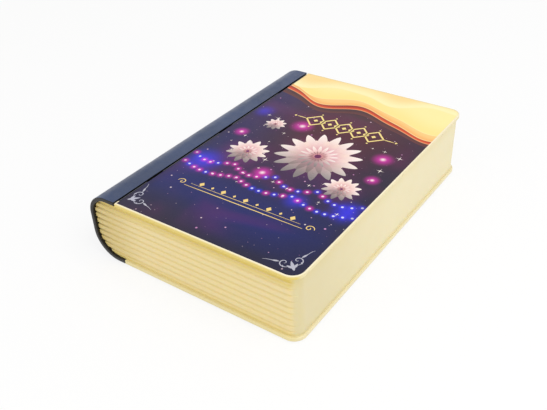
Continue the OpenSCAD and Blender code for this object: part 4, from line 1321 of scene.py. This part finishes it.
class LAMP_OT_sparkles(bpy.types.Operator):
    """Scatter four-pointed sparkles over the ground"""

    bl_idname = "lamp.sparkles"
    bl_label = "Sparkles"

    def execute(self, context):
        look = context.scene.lamp_print
        ink = ink_material("sparkle_ink", look, look.petal, look.petal, (0.0, 0.0), 60.0)
        piece, mesh = ink_piece("sparkles", ink)
        draw = random.Random(7)
        bloom = Vector(BLOOMS[0][1])
        placed = []
        while len(placed) < SPARKLES:
            here = Vector([draw.uniform(*reach) for reach in SPARKLE_FIELD])
            size = draw.choice(SPARKLE_SIZES)
            clear = all((here - other).length > SPARKLE_GAP for other in placed)
            off_bloom = (here - bloom).length > BLOOM_CLEAR
            off_chain = abs(here.x - CHAIN_X) > CHAIN_CLEAR[0] or abs(here.y - CHAIN_Y) > CHAIN_CLEAR[1]
            if not (clear and off_bloom and off_chain):
                continue
            placed.append(here)
            outline = []
            for index in range(8):
                reach = size if index % 2 == 0 else size * SPARKLE_WAIST
                angle = index * math.pi / 4
                outline.append(panel_point(*here) + Vector((math.cos(angle), math.sin(angle))) * reach)
            add_plate(mesh, outline, PANEL_TOP, PANEL_TOP + INK_STEP)
        settle(piece, mesh)
        return {"FINISHED"}


# ---------------------------------------------------------------- cover's other parts

LINER_CREAM = paint(243, 238, 222)
LINER_WARM = paint(238, 231, 210)
LINER_FIBRE = paint(222, 208, 174)
LINER_EDGE_SHADE = paint(232, 218, 184)
LINER_EDGE_WIDTH = 9.0


def liner_material():
    """Matt cream endpaper with fine fibres, and painted shade, a little warmer and darker, towards its edges.
    """
    material, wires, place, change, fine = begin("liner_paper", drift=90.0, smudge=24.0, grain=0.35)
    low, high = (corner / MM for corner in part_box("cover_liner"))
    at = wires.split(wires.vector("ABSOLUTE", wires.vector("SUBTRACT", place, (low + high) / 2)))
    half = (high - low) / 2
    by_side = wires.rescale(at["X"], half.x - LINER_EDGE_WIDTH, half.x)
    by_end = wires.rescale(at["Y"], half.y - LINER_EDGE_WIDTH, half.y)
    lengthways = wires.noise(wires.vector("MULTIPLY", place, (3.2, 0.35, 1.0)), 1.0, 3.0, 0.6, 1.2)
    crossways = wires.noise(wires.vector("MULTIPLY", place, (0.4, 2.8, 1.0)), 1.0, 3.0, 0.6, 1.0)
    fibre = wires.rescale(wires.calc("MAXIMUM", lengthways, crossways), 0.55, 0.75)
    body = wires.tint(LINER_CREAM, LINER_WARM, change["Drift"], 0.25)
    body = wires.tint(body, LINER_FIBRE, fibre, 0.12)
    # painted shade towards the liner's edges
    body = wires.tint(body, LINER_EDGE_SHADE, wires.calc("MAXIMUM", by_side, by_end), 0.3)
    inputs = {
        "Base Color": body,
        "Roughness": wires.between(change["Smudge"], 0.58, 0.66),
        "Normal": wires.bump(wires.calc("MULTIPLY_ADD", fibre, 0.5, fine["Height"]), 0.008),
        "Specular IOR Level": 0.3,
    }
    shade(wires, inputs)
    return material


class LAMP_OT_cover_parts(bpy.types.Operator):
    """Finish the liner and the magnets of the cover, and the bare nickel parts"""

    bl_idname = "lamp.cover_parts"
    bl_label = "Liner, magnets and nickel"

    def execute(self, context):
        nickel = finish(
            "nickel_plate",
            paint(196, 198, 202),
            paint(176, 178, 184),
            gloss=0.24,
            grain=0.35,
            depth=0.003,
            drift=8.0,
            smudge=3.0,
            Metallic=1.0,
        )
        dress("cover_liner", liner_material())
        dress("cover_magnets", nickel, bevel=0.12)
        dress("catch_magnets", nickel, bevel=0.12)
        dress("battery_contacts", nickel)
        dress("usb_socket", nickel, bevel=0.08)
        return {"FINISHED"}


class LAMP_OT_hinge(bpy.types.Operator):
    """Finish the hinge leaves and the pin"""

    bl_idname = "lamp.hinge"
    bl_label = "Hinge"

    def execute(self, context):
        leaves = finish(
            "blued_leaf",
            paint(58, 66, 92),
            paint(46, 52, 74),
            gloss=0.42,
            grain=0.3,
            depth=0.004,
            drift=10.0,
            smudge=3.0,
            Metallic=0.5,
        )
        pin = finish(
            "pin_steel_drawn",
            paint(180, 182, 186),
            paint(160, 162, 168),
            gloss=0.26,
            grain=0.2,
            depth=0.002,
            drift=6.0,
            smudge=2.0,
            spread=0.06,
            Metallic=1.0,
        )
        dress("hinge_leaves", leaves, bevel=0.1)
        dress("hinge_pin", pin)
        return {"FINISHED"}


# ---------------------------------------------------------------- light


def lamp_chip_material():
    """White lamp packages with a warm yellow phosphor window on top."""
    material, wires = new_material("lamp_chips")
    top = wires.rescale(wires.facing()["Z"], 0.6, 0.9)
    fine = wires.group("Grain", {"Place": wires.spot(), "Size": 0.2})
    body = wires.mix(top, paint(238, 238, 234), paint(250, 226, 130))
    body = wires.tint(body, paint(250, 240, 190), fine["Mask"], 0.1)
    shade(wires, {"Base Color": body, "Roughness": 0.35, "Normal": wires.bump(fine["Height"], 0.003)})
    return material


class LAMP_OT_light(bpy.types.Operator):
    """Finish the diffuser, reflector, lamp board and lamps"""

    bl_idname = "lamp.light"
    bl_label = "Light"

    def execute(self, context):
        opal = finish(
            "opal_diffuser",
            paint(246, 243, 232),
            paint(238, 234, 220),
            gloss=0.4,
            grain=0.25,
            depth=0.006,
            drift=26.0,
            smudge=8.0,
            spread=0.06,
            Subsurface_Weight=0.3,
            Subsurface_Scale=2 * MM,
        )
        white = finish("white_reflector", paint(240, 240, 238), paint(230, 230, 228), gloss=0.45, depth=0.006)
        laminate = finish(
            "white_laminate_board",
            paint(232, 234, 232),
            paint(220, 223, 220),
            gloss=0.38,
            grain=0.3,
            depth=0.003,
        )
        dress("diffuser_sheet", opal)
        dress("reflector_sheet", white)
        dress("led_board", laminate)
        dress("leds", lamp_chip_material())
        return {"FINISHED"}


# ---------------------------------------------------------------- controls

BUTTON_CREAM = paint(232, 224, 204)
BUTTON_WARM = paint(220, 210, 186)
BUTTON_INK = paint(92, 96, 108)
RING_RADIUS = 2.0
RING_WIDTH = 0.55

# Each button: the radius of the filled part of its mark, and whether only half of it is filled
BUTTONS = (
    ("mode_button", 0.75, False),
    ("dimmer_button", 2.0, True),
)

CLEAR = {"grain": 0.3, "depth": 0.001, "drift": 4.0, "smudge": 2.0}
SKIN = {"grain": 0.3, "depth": 0.004, "drift": 6.0, "smudge": 2.0}

# Small plain parts: node, finish, its two colours, roughness and texture
SMALL_PARTS = (
    ("reed_switch", "reed_glass_green", paint(170, 200, 186), paint(150, 184, 168), 0.12, CLEAR),
    ("light_pipe", "light_pipe_rod", paint(226, 232, 238), paint(214, 222, 230), 0.14, CLEAR),
    ("battery_lead", "red_wire_skin", paint(176, 36, 32), paint(150, 28, 26), 0.42, SKIN),
    ("led_lead", "pale_wire_skin", paint(226, 224, 214), paint(208, 204, 192), 0.44, SKIN),
    ("button_lead", "grey_wire_skin", paint(126, 128, 132), paint(108, 110, 116), 0.44, SKIN),
)


def button_material(name, centre, filled, half):
    """Satin cream cap with a plain grey mark on its top: a ring round a dot, or round a half disc."""
    material, wires, place, change, fine = begin(name, drift=8.0, smudge=3.0, grain=0.3)
    inputs = {"Place": place, "Centre": centre, "Radius": RING_RADIUS, "Width": RING_WIDTH, "Dot": filled}
    mark = wires.group("Ring Mark", inputs)
    kept = wires.calc("GREATER_THAN", wires.split(place)["X"], centre[0]) if half else 1.0
    top = wires.rescale(wires.facing()["Z"], 0.8, 0.95)
    inked = wires.times(wires.calc("MAXIMUM", mark["Ring"], wires.times(mark["Dot"], kept)), top)
    body = wires.tint(BUTTON_CREAM, BUTTON_WARM, change["Drift"], 0.3)
    inputs = {
        "Base Color": wires.mix(inked, body, BUTTON_INK),
        "Roughness": wires.between(change["Smudge"], 0.36, 0.5),
        "Normal": wires.bump(fine["Height"], 0.005),
    }
    shade(wires, inputs)
    return material


def board_track_material(name, mask_colour, track_colour):
    """Solder mask with faint tracks and pads under it."""
    material, wires, place, change, fine = begin(name, drift=12.0, smudge=4.0, grain=0.25)
    inputs = {
        "Vector": wires.level(place),
        "Scale": 0.5,
        "Mortar Size": 0.09,
        "Mortar Smooth": 0.1,
        "Bias": 0.0,
    }
    tracks = wires.add("ShaderNodeTexBrick", inputs, offset=0.37).outputs["Fac"]
    body = wires.tint(mask_colour, track_colour, tracks, 0.5)
    inputs = {
        "Base Color": wires.tint(body, track_colour, change["Drift"], 0.2),
        "Roughness": wires.between(change["Smudge"], 0.25, 0.4),
        "Normal": wires.bump(wires.calc("MULTIPLY_ADD", tracks, 0.6, fine["Height"]), 0.01),
    }
    shade(wires, inputs)
    return material


class LAMP_OT_controls(bpy.types.Operator):
    """Finish the boards, buttons, switch, inlet and leads"""

    bl_idname = "lamp.controls"
    bl_label = "Controls"

    def execute(self, context):
        green = board_track_material("green_board", paint(30, 92, 56), paint(60, 130, 84))
        dress("control_board", green)
        dress("button_board", green)
        resin = finish(
            "black_resin_parts",
            paint(34, 34, 36),
            paint(48, 48, 52),
            gloss=0.4,
            grain=0.25,
            depth=0.005,
            drift=5.0,
            smudge=2.0,
        )
        dress("board_chips", resin, bevel=0.06, segments=1)
        dress("tact_switches", resin, bevel=0.06, segments=1)
        dress("switch_body", resin, bevel=0.08, segments=1)
        plate = finish(
            "port_plate_dark",
            paint(46, 48, 56),
            paint(38, 40, 46),
            gloss=0.46,
            depth=0.008,
            drift=14.0,
            smudge=4.0,
        )
        knob = finish(
            "knob_dark",
            paint(52, 54, 62),
            paint(42, 44, 50),
            gloss=0.44,
            grain=0.3,
            drift=6.0,
            smudge=2.0,
        )
        charge_lamp = finish(
            "charge_lamp",
            paint(214, 226, 214),
            paint(196, 214, 196),
            gloss=0.3,
            grain=0.3,
            depth=0.002,
            drift=3.0,
            smudge=1.0,
        )
        dress("port_plate", plate, bevel=0.15)
        dress("switch_knob", knob, bevel=0.15)
        dress("charge_led", charge_lamp, bevel=0.06, segments=1)
        for node, name, colour, other, gloss, texture in SMALL_PARTS:
            dress(node, finish(name, colour, other, gloss, **texture))
        for node, filled, half in BUTTONS:
            low, high = (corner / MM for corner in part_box(node))
            middle = (low + high) / 2
            material = button_material(f"{node}_cap", (middle.x, middle.y, 0.0), filled, half)
            dress(node, material, bevel=0.2)
        return {"FINISHED"}


# ---------------------------------------------------------------- battery

# The cell's paler band and its bare metal, in millimetres from its ends
BAND_PLACE = 5.0
BAND_FADE = (0.5, 0.8)
METAL_FADE = (0.04, 0.3)


def wrap_material():
    """Shrink-wrapped cell: blue film with paler bands, and bare metal at its ends."""
    material, wires, place, change, fine = begin("cell_wrap_blue", drift=14.0, smudge=4.0, grain=0.3)
    along = wires.split(place)["Y"]
    low, high = (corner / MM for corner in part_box("battery_cell"))
    from_tail = wires.calc("SUBTRACT", along, low.y)
    from_end = wires.calc("MINIMUM", from_tail, wires.calc("SUBTRACT", high.y, along))
    metal = wires.fall(from_end, *METAL_FADE)
    band = wires.fall(wires.calc("ABSOLUTE", wires.calc("SUBTRACT", from_end, BAND_PLACE)), *BAND_FADE)
    body = wires.tint(paint(38, 92, 160), paint(28, 74, 136), change["Drift"], 0.25)
    body = wires.tint(body, paint(206, 218, 232), band, 0.7)
    inputs = {
        "Base Color": wires.mix(metal, body, paint(190, 192, 196)),
        "Metallic": metal,
        "Roughness": wires.between(change["Smudge"], 0.22, 0.36),
        "Normal": wires.bump(fine["Height"], 0.004),
    }
    shade(wires, inputs)
    return material


class LAMP_OT_battery(bpy.types.Operator):
    """Finish the cell and its holder"""

    bl_idname = "lamp.battery"
    bl_label = "Battery"

    def execute(self, context):
        holder = finish(
            "holder_black",
            paint(40, 40, 44),
            paint(52, 52, 58),
            gloss=0.46,
            drift=14.0,
            smudge=4.0,
        )
        dress("battery_cell", wrap_material())
        dress("battery_holder", holder)
        return {"FINISHED"}


# ---------------------------------------------------------------- feet and screws

SCREWS = (
    "case_screws",
    "spine_screws",
    "holder_screws",
    "control_board_screws",
    "button_board_screws",
    "led_board_screws",
    "hinge_screws",
)


class LAMP_OT_fixings(bpy.types.Operator):
    """Finish the feet, the rest pads and the screws"""

    bl_idname = "lamp.fixings"
    bl_label = "Feet, pads and screws"

    def execute(self, context):
        rubber = finish(
            "foot_rubber_grey",
            paint(74, 74, 76),
            paint(62, 62, 64),
            gloss=0.72,
            grain=0.35,
            depth=0.03,
            drift=8.0,
            smudge=3.0,
            spread=0.06,
        )
        pad = finish(
            "soft_pad_clear",
            paint(226, 226, 218),
            paint(212, 212, 202),
            gloss=0.5,
            grain=0.3,
            depth=0.008,
            drift=5.0,
            smudge=2.0,
        )
        zinc = finish(
            "zinc_screw",
            paint(192, 194, 198),
            paint(168, 170, 176),
            gloss=0.28,
            grain=0.3,
            depth=0.004,
            drift=3.0,
            smudge=1.5,
            Metallic=1.0,
        )
        dress("rubber_feet", rubber, bevel=0.2)
        dress("rest_pads", pad, bevel=0.1)
        for node in SCREWS:
            dress(node, zinc)
        return {"FINISHED"}


# ---------------------------------------------------------------- studio

WHITE = (1.0, 1.0, 1.0)

# The camera at the photograph's view: its place in metres, and its own right, up and back
EYE = (0.16245, -0.23698, 0.2015)
EYE_RIGHT = (0.82184, 0.56862, -0.03534)
EYE_UP = (-0.30106, 0.48612, 0.82039)
EYE_BACK = (0.48367, -0.66359, 0.57071)
SENSOR_WIDTH = 36.0
CLIP_START = 0.01
CLIP_END = 20.0

# Lamps: place and size in metres, and colour; both aim at the middle of the lamp
AIM = (0.0, 0.0, 0.02)
KEY_PLACE = (0.55, -0.1, 0.75)
KEY_SIZE = 0.6
FILL_PLACE = (-0.2, -0.8, 0.35)
FILL_SIZE = 0.5
FILL_COLOUR = (1.0, 0.94, 0.82)

# Floor: half its side in metres, and in millimetres its drop below the feet and its shadow's reach
FLOOR_HALF = 3.0
FLOOR_SQUARES = 8
FLOOR_DROP = 0.05
SHADOW_REACH = 900.0


def seen_directly(wires):
    """1 for rays from the eye, straight, mirrored or through glass, and 0 for light on the object."""
    path = wires.add("ShaderNodeLightPath").outputs
    seen = wires.calc("MAXIMUM", path["Is Camera Ray"], path["Is Glossy Ray"])
    return wires.calc("MAXIMUM", seen, path["Is Transmission Ray"])


def pick_shader(wires, share, first, second, output):
    """Joins the first and the second shader, by the second one's share, to the tree's output."""
    both = wires.add("ShaderNodeMixShader", {0: share, 1: first.outputs[0], 2: second.outputs[0]})
    wires.add(output, {"Surface": both.outputs[0]})


def backdrop_material(shadow):
    """White to the eye and in reflections, a plain pale floor to the light, so the shadow stays."""
    material, wires = new_material("pale_floor")
    place = wires.spot()
    tone = wires.tint((0.95, 0.95, 0.95), (0.92, 0.92, 0.92), wires.noise(place, 0.02), 0.02)
    plain = wires.add("ShaderNodeBsdfDiffuse", {"Color": tone})
    shine = wires.add("ShaderNodeEmission", {"Color": WHITE, "Strength": 1.0})
    away = wires.calc("DIVIDE", wires.vector("LENGTH", place), SHADOW_REACH)
    near = wires.rescale(away, 0.4, 1.0, shadow, 0.0)
    share = wires.times(seen_directly(wires), wires.calc("SUBTRACT", 1.0, near))
    pick_shader(wires, share, plain, shine, "ShaderNodeOutputMaterial")
    return material


def place_camera(scene, lens):
    camera = bpy.data.objects.new("camera", bpy.data.cameras.new("camera"))
    scene.collection.objects.link(camera)
    turn = Matrix((EYE_RIGHT, EYE_UP, EYE_BACK)).transposed()
    camera.matrix_world = Matrix.Translation(EYE) @ turn.to_4x4()
    camera.data.sensor_width = SENSOR_WIDTH
    camera.data.sensor_fit = "HORIZONTAL"
    camera.data.lens = lens
    camera.data.clip_start = CLIP_START
    camera.data.clip_end = CLIP_END
    scene.camera = camera


def light_evenly(scene, strength):
    """A world that is white to the eye and an even, softer light on the object."""
    world = bpy.data.worlds.new("studio")
    world.use_nodes = True
    world.node_tree.nodes.clear()
    wires = Wiring(world.node_tree)
    even = wires.add("ShaderNodeBackground", {"Color": WHITE, "Strength": strength})
    white = wires.add("ShaderNodeBackground", {"Color": WHITE, "Strength": 1.0})
    pick_shader(wires, seen_directly(wires), even, white, "ShaderNodeOutputWorld")
    scene.world = world


def area_lamp(name, place, size, power, colour=WHITE):
    lamp = bpy.data.objects.new(name, bpy.data.lights.new(name, "AREA"))
    lamp.data.shape = "SQUARE"
    lamp.data.size = size
    lamp.data.energy = power
    lamp.data.color = colour
    lamp.location = place
    lamp.rotation_euler = (Vector(AIM) - Vector(place)).to_track_quat("-Z", "Y").to_euler()
    bpy.context.scene.collection.objects.link(lamp)


def lay_floor(scene, shadow):
    floor = bpy.data.objects.new("floor", bpy.data.meshes.new("floor"))
    mesh = bmesh.new()
    bmesh.ops.create_grid(mesh, x_segments=FLOOR_SQUARES, y_segments=FLOOR_SQUARES, size=FLOOR_HALF)
    mesh.to_mesh(floor.data)
    mesh.free()
    floor.location.z = -FLOOR_DROP * MM
    floor.data.materials.append(backdrop_material(shadow))
    scene.collection.objects.link(floor)


class LAMP_OT_stage(bpy.types.Operator):
    """Set the camera, the even light, the lamps and the white floor"""

    bl_idname = "lamp.stage"
    bl_label = "Studio"

    def execute(self, context):
        scene = context.scene
        look = scene.lamp_stage
        scene.view_settings.view_transform = "Standard"
        place_camera(scene, look.lens)
        light_evenly(scene, look.sky)
        area_lamp("key_lamp", KEY_PLACE, KEY_SIZE, look.key)
        area_lamp("fill_lamp", FILL_PLACE, FILL_SIZE, look.fill, FILL_COLOUR)
        lay_floor(scene, look.shadow)
        return {"FINISHED"}


# ---------------------------------------------------------------- panel and run


OPERATORS = (
    LAMP_OT_stage,
    LAMP_OT_case,
    LAMP_OT_picture,
    LAMP_OT_flowers,
    LAMP_OT_gold_lines,
    LAMP_OT_corner_scrolls,
    LAMP_OT_sparkles,
    LAMP_OT_cover_parts,
    LAMP_OT_hinge,
    LAMP_OT_light,
    LAMP_OT_controls,
    LAMP_OT_battery,
    LAMP_OT_fixings,
)

SETTINGS = (
    ("lamp_case", LampCaseSettings),
    ("lamp_print", LampPrintSettings),
    ("lamp_stage", LampStageSettings),
)


class LAMP_PT_panel(bpy.types.Panel):
    """Lists the lamp's pieces and their settings"""

    bl_idname = "LAMP_PT_panel"
    bl_label = "Book Lamp"
    bl_space_type = "VIEW_3D"
    bl_region_type = "UI"
    bl_category = "Book Lamp"

    def draw(self, context):
        column = self.layout.column()
        for operator in OPERATORS:
            column.operator(operator.bl_idname)
        for name, settings in SETTINGS:
            box = self.layout.box()
            for key in settings.__annotations__:
                box.prop(getattr(context.scene, name), key)


def register():
    for name, settings in SETTINGS:
        bpy.utils.register_class(settings)
        setattr(bpy.types.Scene, name, PointerProperty(type=settings))
    for operator in OPERATORS:
        bpy.utils.register_class(operator)
    bpy.utils.register_class(LAMP_PT_panel)


def unregister():
    bpy.utils.unregister_class(LAMP_PT_panel)
    for operator in reversed(OPERATORS):
        bpy.utils.unregister_class(operator)
    for name, settings in reversed(SETTINGS):
        delattr(bpy.types.Scene, name)
        bpy.utils.unregister_class(settings)


def main():
    register()
    for build in GROUP_BUILDERS:
        build()
    for operator in OPERATORS:
        family, name = operator.bl_idname.split(".")
        getattr(getattr(bpy.ops, family), name)()


if __name__ == "__main__":
    main()
